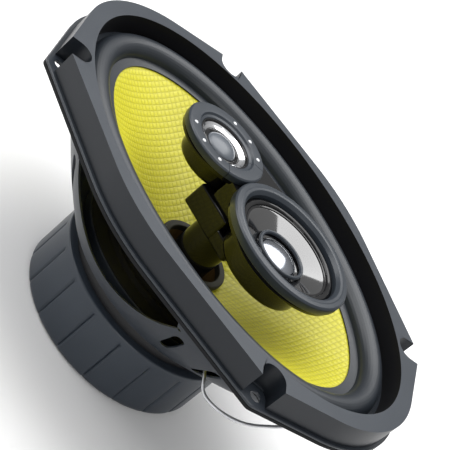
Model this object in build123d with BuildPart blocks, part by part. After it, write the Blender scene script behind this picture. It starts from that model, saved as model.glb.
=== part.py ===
from build123d import *
from math import acos, cos, radians, sin
import os

os.makedirs("parts", exist_ok=True)

# A three-way coaxial car speaker of the oval 6 x 9 inch pattern, in millimetres.
# +Z is the listener's side, +X the long axis with the midrange on it, and z = 0 is the
# plane that the mounting gasket presses on, at the centre of the four screw holes.

# ---------------------------------------------------------------- driving dimensions
FOAM_T = 1.8                    # mounting gasket, from z = 0
SHEET_T = 1.2                   # pressed steel of the basket
FLANGE_TOP = FOAM_T + SHEET_T
TRIM_TOP = 15.0                 # front face of the trim ring

# The outline of the trim ring is a six-sided oval with every corner rounded.
SIDE_APEX_Y = 87.66
CORNER_X, CORNER_Y = 85.3, 65.2
END_APEX_X = 127.2
SIDE_R, END_R, CORNER_R = 90.0, 60.5, 2.0
FLANGE_MARGIN = 1.8             # flange beyond the trim ring

HOLE_X, HOLE_Y, HOLE_R = 83.2, 60.0, 2.75
NOTCH_W = 12.6                  # screw notch in the trim ring
NOTCH_ANGLE = 49.0
NOTCH_X, NOTCH_Y = 81.6, 59.6   # centre of the notch's round end

TRIM_A, TRIM_B = 107.0, 76.6    # opening of the trim ring at its front
SEAT_A, SEAT_B = 103.4, 72.2    # opening of the flange
LIP_A, LIP_B = 110.5, 79.5      # outer edge of the surround's lip
LIP_T = 0.8

WALL_A, WALL_B = 109.0, 75.0    # basket wall under the flange
WAIST_A, WAIST_B, WAIST_Z = 86.0, 69.0, -17.5
FLOOR_R, FLOOR_Z = 56.8, -37.2  # underside of the basket's floor
FLOOR_BORE_R = 22.0
RIVET_RING_R, PLATE_RIVETS, PLATE_RIVET_R, RIVET_DEPTH = 33.0, 6, 2.0, 3.0
SPIDER_SEAT_R0, SPIDER_SEAT_R1, SPIDER_SEAT_Z = 46.0, 53.0, -31.0

CONE_A, CONE_B, CONE_Z = 86.8, 55.2, 2.6
CONE_T = 0.9
CONE_RIM = 5.0                  # flat rim of the cone under the surround
NECK_R, NECK_Z = 17.0, -26.0
ROLL_A, ROLL_B = 97.6, 66.3     # crown of the surround's half roll
ROLL_R = 6.2

FORMER_R, FORMER_T = 16.0, 0.35
FORMER_TOP, FORMER_BOTTOM = -25.2, -48.0
COIL_T, COIL_H = 0.8, 13.0

PLATE_R, PLATE_T = 45.0, 6.0
GAP_R = 17.9                    # bore of the top plate
MAGNET_R, MAGNET_BORE_R, MAGNET_T = 46.0, 24.0, 24.0
BACK_R, BACK_T = 45.5, 7.5
POLE_R, POLE_TOP, POLE_BORE_R = 15.2, -36.6, 4.3
BOOT_R, BOOT_FRONT, BOOT_BACK = 50.7, -48.2, -78.8
BOOT_WALL, BOOT_PANELS = 2.4, 18
BOOT_CORNER_R, GROOVE_W, GROOVE_D = 3.0, 0.7, 0.7

# Windows and slots pressed out of the basket's wall.
WINDOW_HALF, WINDOW_TOP, WINDOW_LOW, WINDOW_TIP = 43.0, -4.6, -30.0, -9.0
END_WINDOW_HALF, END_WINDOW_TOP, END_WINDOW_LOW, END_WINDOW_TIP = 26.0, -5.5, -27.0, -11.0
CHEEK_INSET = 2.5               # how far a window's top corners lean inwards
TOOL_START = 54.0               # windows and slots are pushed outwards from this distance
SLOT_LENGTH, SLOT_W, SLOT_Z = 15.0, 5.0, -20.0
SLOT_ANGLES = (38.0, 53.0)      # slots in the corner panels, from the long axis
LEAD_SLOT_ANGLE = 30.0          # the far tinsel lead leaves through a slot of its own

# Terminals stand on a shelf of the basket, turned from the long axis.
TERMINAL_ANGLE = 10.0
TAB_RHO0, TAB_RHO, TAB_HALF, TAB_Z = 60.0, 91.5, 10.0, -22.0
RIVET_HALF, RIVET_RHO, RIVET_R = 7.0, 88.0, 1.4
BOARD_T, BOARD_RHO0, BOARD_RHO1, BOARD_HALF = 1.6, 74.0, 95.0, 12.0
SPADE_T, SPADE_RHO0, SPADE_RHO1 = 0.8, 85.6, 104.0
TINSEL_R, LEAD_R = 0.8, 0.7

TWEETER_X, TWEETER_R, TWEETER_TOP = -30.2, 22.4, 21.9
MID_X, MID_R, MID_TOP = 26.2, 33.7, 22.8
WEB_T = 2.2                     # figure-eight plate under the two bezels
POST_R, POST_BORE_R = 10.7, 3.0
BLOCK_X0, BLOCK_X1, BLOCK_HALF_Y = -19.0, 15.0, 11.0
BLOCK_BOTTOM, BLOCK_TOP = -6.5, 6.0
TW_CUP_R, TW_CUP_BOTTOM = 15.5, 6.0
MID_CUP_X, MID_CUP_R, MID_CUP_BOTTOM = 25.2, 22.0, 0.5
MID_CUP_TOP = 14.9              # clears the midrange cone at the end of its travel

# Collar, surround and spider that centre the woofer's cone.
COLLAR_R0, COLLAR_R1, COLLAR_LOW, COLLAR_TOP = 15.4, 18.9, -24.4, -21.9
ROLL_FOOT, LIP_OVERLAP = 3.2, 0.5
SPIDER_T, SPIDER_R0, SPIDER_R1, SPIDER_WAVES, SPIDER_AMPLITUDE = 0.5, 18.5, 45.0, 5, 1.1

# Post and carrier.
POST_FLANGE_R, POST_FLANGE_T = 13.0, 3.0
NUT_R, NUT_T, SPIGOT_R = 7.0, 3.4, 4.2
BLOCK_WALL = 2.0
NECK_X0, NECK_X1, NECK_HALF_Y = -13.0, 3.0, 9.0
CAP_R, CAP_Y, CAP_X, CAP_LENGTH = 3.8, 4.9, -9.0, 14.6
TW_HOLE_R, MID_HOLE_R = 14.2, 26.5
WEB_TW_R, WEB_MID_R = 21.8, 32.8
BRIDGE_TW_TURN, BRIDGE_MID_TURN = radians(30), radians(22)
CUP_WALL = 1.4

# Midrange unit.
MID_FORMER_R, MID_FORMER_T, MID_COIL_T = 8.6, 0.25, 0.45
MID_YOKE_R, MID_YOKE_R0 = 13.5, 9.9
MID_EDGE_R, MID_EDGE_Z, MID_NECK_Z = 23.0, 17.6, 11.4
MID_SHEET = 0.4
MID_DOME_R, MID_DOME_Z, MID_DOME_RISE = 10.4, 12.9, 3.2
MID_RING_R, MID_RING_T = 12.2, 0.9

# Tweeter unit.
TW_YOKE_R, TW_YOKE_R0, TW_GAP_TOP = 12.0, 8.9, 15.0
TW_DOME_R, TW_DOME_Z, TW_DOME_RISE, TW_SHEET = 8.0, 17.7, 2.9, 0.25
TW_LIP_R1 = 12.6
SECTOR_HALF, SECTOR_GAP = 40.0, 0.25   # plain sector of the bezel, next to the midrange
STUD_R, STUD_RING_R, STUD_RISE = 1.0, 18.8, 0.35
STUD_ANGLES = (57, 90, 123, -57, -90, -123)

MAGNET_TOP = FLOOR_Z - PLATE_T
MAGNET_BOTTOM = MAGNET_TOP - MAGNET_T
BACK_BOTTOM = MAGNET_BOTTOM - BACK_T
WEB_TOP = 18.2                  # both bezels sit on the web plate
WEB_BOTTOM = WEB_TOP - WEB_T
CORNERS = [(sx, sy) for sx in (-1, 1) for sy in (-1, 1)]

finished = []


def finish(piece, name):
    """Label a finished piece and keep it for export."""
    piece.part.label = name
    finished.append(piece.part)


def outline(margin, corner_radius):
    """Sketch the trim ring's rounded six-sided outline, grown by a margin."""
    with BuildSketch(mode=Mode.PRIVATE) as shape:
        with BuildLine():
            Polyline(
                (0, SIDE_APEX_Y), (CORNER_X, CORNER_Y), (END_APEX_X, 0), (CORNER_X, -CORNER_Y),
                (0, -SIDE_APEX_Y), (-CORNER_X, -CORNER_Y), (-END_APEX_X, 0), (-CORNER_X, CORNER_Y),
                close=True,
            )
        make_face()
        corners = shape.vertices()
        fillet(corners.filter_by(lambda v: abs(v.X) < 1), SIDE_R)
        fillet(shape.vertices().filter_by(lambda v: abs(v.Y) < 1), END_R)
        sharp = shape.vertices().filter_by(
            lambda v: abs(abs(v.X) - CORNER_X) < 0.1 and abs(abs(v.Y) - CORNER_Y) < 0.1
        )
        fillet(sharp, corner_radius)
        if margin:
            offset(amount=margin, kind=Kind.ARC)
    return shape.sketch


# ---------------------------------------------------------------- mounting gasket
with BuildPart() as mounting_gasket:
    with BuildSketch():
        add(outline(FLANGE_MARGIN, 4.0))
        Ellipse(WALL_A + 0.4, WALL_B + 0.4, mode=Mode.SUBTRACT)
        with Locations(*[(sx * HOLE_X, sy * HOLE_Y) for sx, sy in CORNERS]):
            Circle(HOLE_R, mode=Mode.SUBTRACT)
    extrude(amount=FOAM_T)
finish(mounting_gasket, "mounting_gasket")


# ---------------------------------------------------------------- basket
# The wall runs from the flange's oval to the round floor, so both of its skins are
# lofts through an oval, a fuller oval at the waist and a circle.
def wall_solid(inset, floor_z):
    """Loft the basket's wall, drawn in by the sheet's thickness for its inner skin."""
    with BuildPart(mode=Mode.PRIVATE) as body:
        with BuildSketch(Plane.XY.offset(FOAM_T)):
            Ellipse(WALL_A - inset, WALL_B - inset)
        with BuildSketch(Plane.XY.offset(WAIST_Z)):
            Ellipse(WAIST_A - inset, WAIST_B - inset)
        with BuildSketch(Plane.XY.offset(floor_z)):
            Circle(FLOOR_R - inset)
        loft()
    return body.part


wall_outer = wall_solid(0, FLOOR_Z)
wall_inner = wall_solid(SHEET_T, FLOOR_Z + SHEET_T)


def radial_plane(angle):
    """Give the upright plane through the axis, facing outwards at an angle."""
    facing = Vector(cos(radians(angle)), sin(radians(angle)), 0)
    return Plane((0, 0, 0), x_dir=(-facing.Y, facing.X, 0), z_dir=facing)


def window(angle, half, top, low, tip):
    """Cut a half-moon window: a flat top edge, short cheeks and an arc below."""
    with BuildPart(mode=Mode.PRIVATE) as tool:
        with BuildSketch(radial_plane(angle).offset(TOOL_START)):
            with BuildLine():
                Polyline((-half, tip), (CHEEK_INSET - half, top), (half - CHEEK_INSET, top), (half, tip))
                ThreePointArc((half, tip), (0, low), (-half, tip))
            make_face()
        extrude(amount=80)
    return tool.part


terminal_frame = Plane(
    (0, 0, 0), x_dir=(cos(radians(TERMINAL_ANGLE)), sin(radians(TERMINAL_ANGLE)), 0), z_dir=(0, 0, 1)
)

# Shelf outside the wall that carries the terminal board.
with BuildPart(mode=Mode.PRIVATE) as shelf:
    with BuildSketch(terminal_frame.offset(TAB_Z)):
        with Locations(((TAB_RHO0 + TAB_RHO) / 2, 0)):
            Rectangle(TAB_RHO - TAB_RHO0, 2 * TAB_HALF)
    extrude(amount=SHEET_T)
    add(wall_inner, mode=Mode.SUBTRACT)

with BuildPart() as basket:
    with BuildSketch(Plane.XY.offset(FOAM_T)):
        add(outline(FLANGE_MARGIN, 4.0))
    extrude(amount=SHEET_T)
    add(wall_outer)
    add(wall_inner, mode=Mode.SUBTRACT)
    # Landing ring that the spider's rim is glued to.
    with BuildSketch(Plane.XY.offset(FLOOR_Z + SHEET_T)):
        Circle(SPIDER_SEAT_R1)
        Circle(SPIDER_SEAT_R0, mode=Mode.SUBTRACT)
    extrude(amount=SPIDER_SEAT_Z - FLOOR_Z - SHEET_T)
    with BuildSketch(Plane.XY.offset(FLANGE_TOP)):
        Ellipse(SEAT_A, SEAT_B)
    extrude(amount=-SHEET_T - 1, mode=Mode.SUBTRACT)
    with Locations((0, 0, FLOOR_Z)):
        Cylinder(FLOOR_BORE_R, 4, mode=Mode.SUBTRACT)
        with PolarLocations(RIVET_RING_R, PLATE_RIVETS, start_angle=30):
            Cylinder(PLATE_RIVET_R, 4, mode=Mode.SUBTRACT)
    for side in (90, -90):
        add(window(side, WINDOW_HALF, WINDOW_TOP, WINDOW_LOW, WINDOW_TIP), mode=Mode.SUBTRACT)
    add(window(180, END_WINDOW_HALF, END_WINDOW_TOP, END_WINDOW_LOW, END_WINDOW_TIP), mode=Mode.SUBTRACT)
    slot_turns = [half + side * turn for half in (0, 180) for side in (1, -1) for turn in SLOT_ANGLES]
    for turn in slot_turns + [LEAD_SLOT_ANGLE]:
        with BuildSketch(radial_plane(turn).offset(TOOL_START)):
            with Locations((0, SLOT_Z)):
                SlotOverall(SLOT_LENGTH, SLOT_W, rotation=90)
        extrude(amount=50, mode=Mode.SUBTRACT)
    for sx, sy in CORNERS:
        with Locations((sx * HOLE_X, sy * HOLE_Y, FLANGE_TOP)):
            Hole(HOLE_R, depth=2 * SHEET_T)
    add(shelf.part)
    with BuildSketch(terminal_frame.offset(TAB_Z)):
        with Locations((RIVET_RHO, RIVET_HALF), (RIVET_RHO, -RIVET_HALF)):
            Circle(RIVET_R)
    extrude(amount=SHEET_T, mode=Mode.SUBTRACT)
finish(basket, "basket")


# ---------------------------------------------------------------- trim ring
TRIM_T = TRIM_TOP - FLANGE_TOP
with BuildPart() as trim_ring:
    with BuildSketch(Plane.XY.offset(FLANGE_TOP)):
        add(outline(0, CORNER_R))
    extrude(amount=TRIM_T)
    with BuildSketch(Plane.XY.offset(FLANGE_TOP)):
        Ellipse(TRIM_A - 0.9, TRIM_B - 0.9)
    with BuildSketch(Plane.XY.offset(TRIM_TOP)):
        Ellipse(TRIM_A, TRIM_B)
    loft(ruled=True, mode=Mode.SUBTRACT)
    # Rebate for the surround's lip.
    with BuildSketch(Plane.XY.offset(FLANGE_TOP)):
        Ellipse(LIP_A, LIP_B)
    extrude(amount=LIP_T, mode=Mode.SUBTRACT)
    for sx, sy in CORNERS:
        out_angle = NOTCH_ANGLE if sx * sy > 0 else -NOTCH_ANGLE
        out_angle += 0 if sx > 0 else 180
        notch_end = Location((sx * NOTCH_X, sy * NOTCH_Y, 0), (0, 0, out_angle))
        with BuildSketch(Plane.XY.offset(FLANGE_TOP)):
            with Locations(notch_end):
                Circle(NOTCH_W / 2)
                with Locations((15, 0)):
                    Rectangle(30, NOTCH_W)
        extrude(amount=TRIM_T, mode=Mode.SUBTRACT)
finish(trim_ring, "trim_ring")

# ---------------------------------------------------------------- magnet system
with BuildPart() as top_plate:
    with Locations((0, 0, FLOOR_Z - PLATE_T / 2)):
        Cylinder(PLATE_R, PLATE_T)
        Hole(GAP_R)
    with Locations((0, 0, FLOOR_Z)):
        with PolarLocations(RIVET_RING_R, PLATE_RIVETS, start_angle=30):
            Hole(PLATE_RIVET_R, depth=RIVET_DEPTH)
    chamfer(top_plate.edges().filter_by(GeomType.CIRCLE).group_by(Axis.Z)[-1].sort_by(SortBy.RADIUS)[-1], 0.8)
finish(top_plate, "top_plate")

with BuildPart() as ring_magnet:
    with Locations((0, 0, MAGNET_TOP - MAGNET_T / 2)):
        Cylinder(MAGNET_R, MAGNET_T)
        Hole(MAGNET_BORE_R)
    chamfer(ring_magnet.edges().filter_by(GeomType.CIRCLE).sort_by(SortBy.RADIUS)[-2:], 1.0)
finish(ring_magnet, "ring_magnet")

with BuildPart() as yoke:
    with Locations((0, 0, MAGNET_BOTTOM - BACK_T / 2)):
        Cylinder(BACK_R, BACK_T)
    with BuildSketch(Plane.XY.offset(MAGNET_BOTTOM)):
        Circle(POLE_R)
    extrude(amount=POLE_TOP - MAGNET_BOTTOM)
    with Locations((0, 0, POLE_TOP)):
        Hole(POLE_BORE_R)
    # Counterbore for the post's nut.
    with BuildSketch(Plane.XY.offset(BACK_BOTTOM)):
        Circle(NUT_R + 0.6)
    extrude(amount=NUT_T + 0.6, mode=Mode.SUBTRACT)
    chamfer(yoke.edges().filter_by(GeomType.CIRCLE).group_by(Axis.Z)[0].sort_by(SortBy.RADIUS)[-1], 1.2)
finish(yoke, "yoke")

with BuildPart() as magnet_boot:
    with BuildSketch(Plane.XY.offset(BOOT_BACK)):
        Circle(BOOT_R)
    extrude(amount=BOOT_FRONT - BOOT_BACK)
    fillet(magnet_boot.edges().group_by(Axis.Z)[0], BOOT_CORNER_R)
    chamfer(magnet_boot.edges().group_by(Axis.Z)[-1], 0.6)
    with BuildSketch(Plane.XY.offset(BOOT_BACK + BOOT_WALL)):
        Circle(MAGNET_R + 0.1)
    extrude(amount=60, mode=Mode.SUBTRACT)
    # Channel inside the wall for the leads that run to the back of the pole.
    with BuildSketch(terminal_frame.offset(BOOT_BACK + BOOT_WALL)):
        with Locations((MAGNET_R, 0)):
            Rectangle(2 * 2.6, 5.0)
    extrude(amount=60, mode=Mode.SUBTRACT)
    # Grooves divide the wall into soft panels.
    groove_low = BOOT_BACK + BOOT_CORNER_R
    with BuildSketch(Plane.XY.offset(groove_low)):
        with PolarLocations(BOOT_R, BOOT_PANELS, start_angle=10 + 180 / BOOT_PANELS):
            Rectangle(2 * GROOVE_D, GROOVE_W)
    extrude(amount=BOOT_FRONT - 3.5 - groove_low, mode=Mode.SUBTRACT)
finish(magnet_boot, "magnet_boot")

with BuildPart() as plate_rivets:
    with BuildSketch(Plane.XY.offset(FLOOR_Z - RIVET_DEPTH)):
        with PolarLocations(RIVET_RING_R, PLATE_RIVETS, start_angle=30):
            Circle(PLATE_RIVET_R)
    extrude(amount=RIVET_DEPTH + SHEET_T)
    with BuildSketch(Plane.XY.offset(FLOOR_Z + SHEET_T)):
        with PolarLocations(RIVET_RING_R, PLATE_RIVETS, start_angle=30):
            Circle(PLATE_RIVET_R + 1.4)
    extrude(amount=0.9)
finish(plate_rivets, "plate_rivets")


# ---------------------------------------------------------------- woofer cone and coil
def cone_solid(drop):
    """Fill the cone from its neck circle to its oval edge, lowered by the paper's thickness."""
    with BuildPart(mode=Mode.PRIVATE) as body:
        with BuildSketch(Plane.XY.offset(NECK_Z - drop)):
            Circle(NECK_R)
        with BuildSketch(Plane.XY.offset(CONE_Z - drop)):
            Ellipse(CONE_A, CONE_B)
        loft(ruled=True)
    return body.part


FORMER_OUT = FORMER_R + FORMER_T
with BuildPart() as woofer_cone:
    add(cone_solid(CONE_T))
    with BuildSketch(Plane.XY.offset(CONE_Z - CONE_T)):
        Ellipse(CONE_A + CONE_RIM, CONE_B + CONE_RIM)
    extrude(amount=CONE_T)
    add(cone_solid(0), mode=Mode.SUBTRACT)
    with BuildSketch(Plane.XY.offset(NECK_Z - CONE_T - 2)):
        Circle(NECK_R)
    extrude(amount=CONE_T + 2)
    with BuildSketch(Plane.XY.offset(NECK_Z - 6)):
        Circle(FORMER_OUT)
    extrude(amount=8, mode=Mode.SUBTRACT)
finish(woofer_cone, "woofer_cone")

with BuildPart() as neck_collar:
    with BuildSketch(Plane.XY.offset(COLLAR_LOW)):
        Circle(COLLAR_R1)
        Circle(COLLAR_R0, mode=Mode.SUBTRACT)
    extrude(amount=COLLAR_TOP - COLLAR_LOW)
    fillet(neck_collar.edges().group_by(Axis.Z)[-1], 1.2)
    with BuildSketch(Plane.XY.offset(FORMER_TOP)):
        Circle(FORMER_OUT)
        Circle(COLLAR_R0, mode=Mode.SUBTRACT)
    extrude(amount=COLLAR_LOW - FORMER_TOP)
finish(neck_collar, "neck_collar")

with BuildPart() as coil_former:
    with BuildSketch(Plane.XY.offset(FORMER_BOTTOM)):
        Circle(FORMER_OUT)
        Circle(FORMER_R, mode=Mode.SUBTRACT)
    extrude(amount=FORMER_TOP - FORMER_BOTTOM)
finish(coil_former, "coil_former")

with BuildPart() as voice_coil:
    with BuildSketch(Plane.XY.offset(FLOOR_Z - PLATE_T / 2 - COIL_H / 2)):
        Circle(FORMER_OUT + COIL_T)
        Circle(FORMER_OUT, mode=Mode.SUBTRACT)
    extrude(amount=COIL_H)
finish(voice_coil, "voice_coil")

# ---------------------------------------------------------------- surround and spider
def roll_ring(reach, base, height, crown_r):
    """Extrude an oval band either side of the crown line and round its two upper edges."""
    with BuildPart(mode=Mode.PRIVATE) as band:
        with BuildSketch(Plane.XY.offset(base)):
            Ellipse(ROLL_A + reach, ROLL_B + reach)
            Ellipse(ROLL_A - reach, ROLL_B - reach, mode=Mode.SUBTRACT)
        extrude(amount=height)
        fillet(band.edges().group_by(Axis.Z)[-1], crown_r)
    return band.part


with BuildPart() as surround:
    add(roll_ring(ROLL_R, ROLL_FOOT, ROLL_R, ROLL_R - 0.6))
    add(roll_ring(ROLL_R - LIP_T, ROLL_FOOT, ROLL_R - LIP_T, ROLL_R - LIP_T - 0.6), mode=Mode.SUBTRACT)
    with BuildSketch(Plane.XY.offset(FLANGE_TOP)):
        Ellipse(LIP_A, LIP_B)
        Ellipse(ROLL_A + ROLL_R - LIP_OVERLAP, ROLL_B + ROLL_R - LIP_OVERLAP, mode=Mode.SUBTRACT)
    extrude(amount=LIP_T)
    with BuildSketch(Plane.XY.offset(CONE_Z)):
        Ellipse(ROLL_A - ROLL_R + LIP_OVERLAP, ROLL_B - ROLL_R + LIP_OVERLAP)
        Ellipse(CONE_A, CONE_B, mode=Mode.SUBTRACT)
    extrude(amount=LIP_T)
finish(surround, "surround")

half_wave = (SPIDER_R1 - SPIDER_R0) / (2 * SPIDER_WAVES)


def spider_skin(height):
    """Draw one skin of the corrugated disc, from the former out to its glued rim."""
    Line((FORMER_OUT, height), (SPIDER_R0, height))
    for step in range(2 * SPIDER_WAVES):
        start = SPIDER_R0 + step * half_wave
        crest = height + SPIDER_AMPLITUDE * (1 if step % 2 == 0 else -1)
        ThreePointArc((start, height), (start + half_wave / 2, crest), (start + half_wave, height))
    Line((SPIDER_R1, height), (SPIDER_SEAT_R1, height))


with BuildPart() as spider:
    with BuildSketch(Plane.XZ):
        with BuildLine():
            spider_skin(SPIDER_SEAT_Z)
            spider_skin(SPIDER_SEAT_Z + SPIDER_T)
            Line((FORMER_OUT, SPIDER_SEAT_Z), (FORMER_OUT, SPIDER_SEAT_Z + SPIDER_T))
            Line((SPIDER_SEAT_R1, SPIDER_SEAT_Z), (SPIDER_SEAT_R1, SPIDER_SEAT_Z + SPIDER_T))
        make_face()
    revolve(axis=Axis.Z)
finish(spider, "spider")


# ---------------------------------------------------------------- post and carrier
# A hollow post stands on the pole and widens into a block that carries both small units
# and holds the two crossover capacitors.
BLOCK_MID_X = (BLOCK_X0 + BLOCK_X1) / 2
BLOCK_LENGTH = BLOCK_X1 - BLOCK_X0
with BuildPart() as carrier:
    with BuildSketch(Plane.XY.offset(POLE_TOP)):
        Circle(POST_FLANGE_R)
    extrude(amount=POST_FLANGE_T)
    with BuildSketch(Plane.XY.offset(POLE_TOP)):
        Circle(POST_R)
    extrude(amount=BLOCK_BOTTOM - POLE_TOP)
    with BuildSketch(Plane.XY.offset(BACK_BOTTOM)):
        Circle(SPIGOT_R)
    extrude(amount=POLE_TOP - BACK_BOTTOM)
    with BuildSketch(Plane.XY.offset(BLOCK_BOTTOM)):
        with Locations((BLOCK_MID_X, 0)):
            RectangleRounded(BLOCK_LENGTH, 2 * BLOCK_HALF_Y, 1.5)
    extrude(amount=BLOCK_TOP - BLOCK_BOTTOM)
    # Chamber for the capacitors, open at the top.
    with BuildSketch(Plane.XY.offset(BLOCK_BOTTOM + BLOCK_WALL)):
        with Locations(((BLOCK_X0 + MID_CUP_X - MID_CUP_R) / 2, 0)):
            RectangleRounded(
                MID_CUP_X - MID_CUP_R - BLOCK_X0 - 2 * BLOCK_WALL, 2 * (BLOCK_HALF_Y - BLOCK_WALL), 0.8
            )
    extrude(amount=BLOCK_TOP - BLOCK_BOTTOM, mode=Mode.SUBTRACT)
    # Seat for the midrange cup.
    with BuildSketch(Plane.XY.offset(MID_CUP_BOTTOM)):
        with Locations((MID_CUP_X, 0)):
            Circle(MID_CUP_R)
    extrude(amount=BLOCK_TOP, mode=Mode.SUBTRACT)
    with BuildSketch(Plane.XY.offset(BACK_BOTTOM)):
        Circle(POST_BORE_R)
    extrude(amount=BLOCK_BOTTOM + BLOCK_WALL + 1 - BACK_BOTTOM, mode=Mode.SUBTRACT)
finish(carrier, "carrier_post")

with BuildPart() as post_nut:
    with BuildSketch(Plane.XY.offset(BACK_BOTTOM)):
        RegularPolygon(NUT_R, 6)
        Circle(SPIGOT_R, mode=Mode.SUBTRACT)
    extrude(amount=NUT_T)
    chamfer(post_nut.faces().sort_by(Axis.Z)[0].outer_wire().edges(), 0.5)
finish(post_nut, "post_nut")

web_lean = acos((WEB_TW_R - WEB_MID_R) / (MID_X - TWEETER_X))
with BuildPart() as web_plate:
    with BuildSketch(Plane.XY.offset(WEB_BOTTOM)):
        with Locations((TWEETER_X, 0)):
            Circle(WEB_TW_R)
        with Locations((MID_X, 0)):
            Circle(WEB_MID_R)
        # Bridge: tangent to both discs on the far side, narrower on the near side.
        with BuildLine():
            Polyline(
                (TWEETER_X + WEB_TW_R * cos(web_lean), WEB_TW_R * sin(web_lean)),
                (MID_X + WEB_MID_R * cos(web_lean), WEB_MID_R * sin(web_lean)),
                (MID_X - WEB_MID_R * cos(BRIDGE_MID_TURN), -WEB_MID_R * sin(BRIDGE_MID_TURN)),
                (TWEETER_X + WEB_TW_R * cos(BRIDGE_TW_TURN), -WEB_TW_R * sin(BRIDGE_TW_TURN)),
                close=True,
            )
        make_face()
    extrude(amount=WEB_T)
    with BuildSketch(Plane.XY.offset(BLOCK_TOP)):
        with Locations(((NECK_X0 + NECK_X1) / 2, 0)):
            RectangleRounded(NECK_X1 - NECK_X0, 2 * NECK_HALF_Y, 1.5)
    extrude(amount=WEB_BOTTOM - BLOCK_TOP)
    with BuildSketch(Plane.XY.offset(WEB_BOTTOM)):
        with Locations((TWEETER_X, 0)):
            Circle(TW_HOLE_R)
        with Locations((MID_X, 0)):
            Circle(MID_HOLE_R)
    extrude(amount=WEB_T, mode=Mode.SUBTRACT)
    with BuildSketch(Plane.XY.offset(BLOCK_TOP)):
        with Locations((TWEETER_X, 0)):
            Circle(TW_CUP_R)
        with Locations((MID_CUP_X, 0)):
            Circle(MID_CUP_R)
    extrude(amount=WEB_BOTTOM - BLOCK_TOP, mode=Mode.SUBTRACT)
finish(web_plate, "web_plate")

for name, side in (("tweeter_capacitor", 1), ("midrange_capacitor", -1)):
    with BuildPart() as capacitor:
        with BuildSketch(Plane.YZ.offset(CAP_X - CAP_LENGTH / 2)):
            with Locations((side * CAP_Y, BLOCK_BOTTOM + BLOCK_WALL + CAP_R + 0.1)):
                Circle(CAP_R)
        extrude(amount=CAP_LENGTH)
        chamfer(capacitor.edges().filter_by(GeomType.CIRCLE), 0.5)
    finish(capacitor, name)

# ---------------------------------------------------------------- midrange unit
MID_MOTOR_Z = MID_CUP_BOTTOM + CUP_WALL


def cup(x, radius, bottom, top, wall):
    """Turn a round cup with a flat floor and rounded lower edge."""
    with BuildPart(mode=Mode.PRIVATE) as shell:
        with BuildSketch(Plane.XY.offset(bottom)):
            with Locations((x, 0)):
                Circle(radius)
        extrude(amount=top - bottom)
        fillet(shell.edges().group_by(Axis.Z)[0], wall)
        with BuildSketch(Plane.XY.offset(bottom + wall)):
            with Locations((x, 0)):
                Circle(radius - wall)
        extrude(amount=top - bottom, mode=Mode.SUBTRACT)
    return shell.part


def turned(x, *rings):
    """Stack flat rings, each (inner radius, outer radius, low z, high z), on an axis at x."""
    with BuildPart(mode=Mode.PRIVATE) as stack:
        for inner, outer, low, high in rings:
            with BuildSketch(Plane.XY.offset(low)):
                with Locations((x, 0)):
                    Circle(outer)
                    if inner:
                        Circle(inner, mode=Mode.SUBTRACT)
            extrude(amount=high - low)
    return stack.part


def dome(x, radius, base, rise, sheet):
    """Cut a thin spherical cap of the given rise above its base plane."""
    sphere_r = (radius ** 2 + rise ** 2) / (2 * rise)
    with BuildPart(mode=Mode.PRIVATE) as cap:
        with Locations((x, 0, base + rise - sphere_r)):
            Sphere(sphere_r)
            Sphere(sphere_r - sheet, mode=Mode.SUBTRACT)
        split(bisect_by=Plane.XY.offset(base), keep=Keep.TOP)
    return cap.part


with BuildPart() as mid_cup:
    add(cup(MID_CUP_X, MID_CUP_R, MID_CUP_BOTTOM, MID_CUP_TOP, CUP_WALL))
finish(mid_cup, "midrange_cup")

with BuildPart() as mid_yoke:
    add(turned(
        MID_X,
        (0, MID_YOKE_R, MID_MOTOR_Z, MID_MOTOR_Z + 2),
        (MID_YOKE_R0, MID_YOKE_R, MID_MOTOR_Z, 9.0),
    ))
finish(mid_yoke, "midrange_yoke")

with BuildPart() as mid_magnet:
    add(turned(MID_X, (0, 8.0, MID_MOTOR_Z + 2, 6.4)))
finish(mid_magnet, "midrange_magnet")

with BuildPart() as mid_pole:
    add(turned(MID_X, (0, 8.2, 6.4, 8.8)))
finish(mid_pole, "midrange_pole_plate")

MID_FORMER_OUT = MID_FORMER_R + MID_FORMER_T
with BuildPart() as mid_cone:
    with BuildSketch(Plane.XZ):
        with BuildLine():
            Polyline(
                (MID_FORMER_OUT, MID_NECK_Z), (MID_EDGE_R, MID_EDGE_Z),
                (MID_EDGE_R + 1.2, MID_EDGE_Z), (MID_EDGE_R + 1.2, MID_EDGE_Z + MID_SHEET),
                (MID_EDGE_R - 0.2, MID_EDGE_Z + MID_SHEET), (MID_FORMER_OUT, MID_NECK_Z + MID_SHEET + 0.1),
                close=True,
            )
        make_face()
    revolve(axis=Axis.Z)
mid_cone.part = Pos(MID_X, 0, 0) * mid_cone.part
finish(mid_cone, "midrange_cone")

with BuildPart() as mid_dome:
    add(dome(MID_X, MID_DOME_R, MID_DOME_Z, MID_DOME_RISE, MID_SHEET))
finish(mid_dome, "midrange_dust_cap")

MID_RING_Z = MID_NECK_Z + (MID_RING_R + MID_RING_T - MID_FORMER_OUT) * (MID_EDGE_Z - MID_NECK_Z) / (
    MID_EDGE_R - MID_FORMER_OUT) + MID_SHEET + MID_RING_T + 0.35
with BuildPart() as mid_ring:
    with BuildSketch(Plane.XZ):
        with Locations((MID_RING_R, MID_RING_Z)):
            Circle(MID_RING_T)
    revolve(axis=Axis.Z)
mid_ring.part = Pos(MID_X, 0, 0) * mid_ring.part
finish(mid_ring, "midrange_trim_ring")

with BuildPart() as mid_coil:
    add(turned(
        MID_X,
        (MID_FORMER_R, MID_FORMER_OUT, 5.2, MID_NECK_Z + 0.8),
        (MID_FORMER_R, MID_FORMER_OUT + MID_COIL_T, 5.6, 9.6),
    ))
finish(mid_coil, "midrange_voice_coil")


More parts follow.
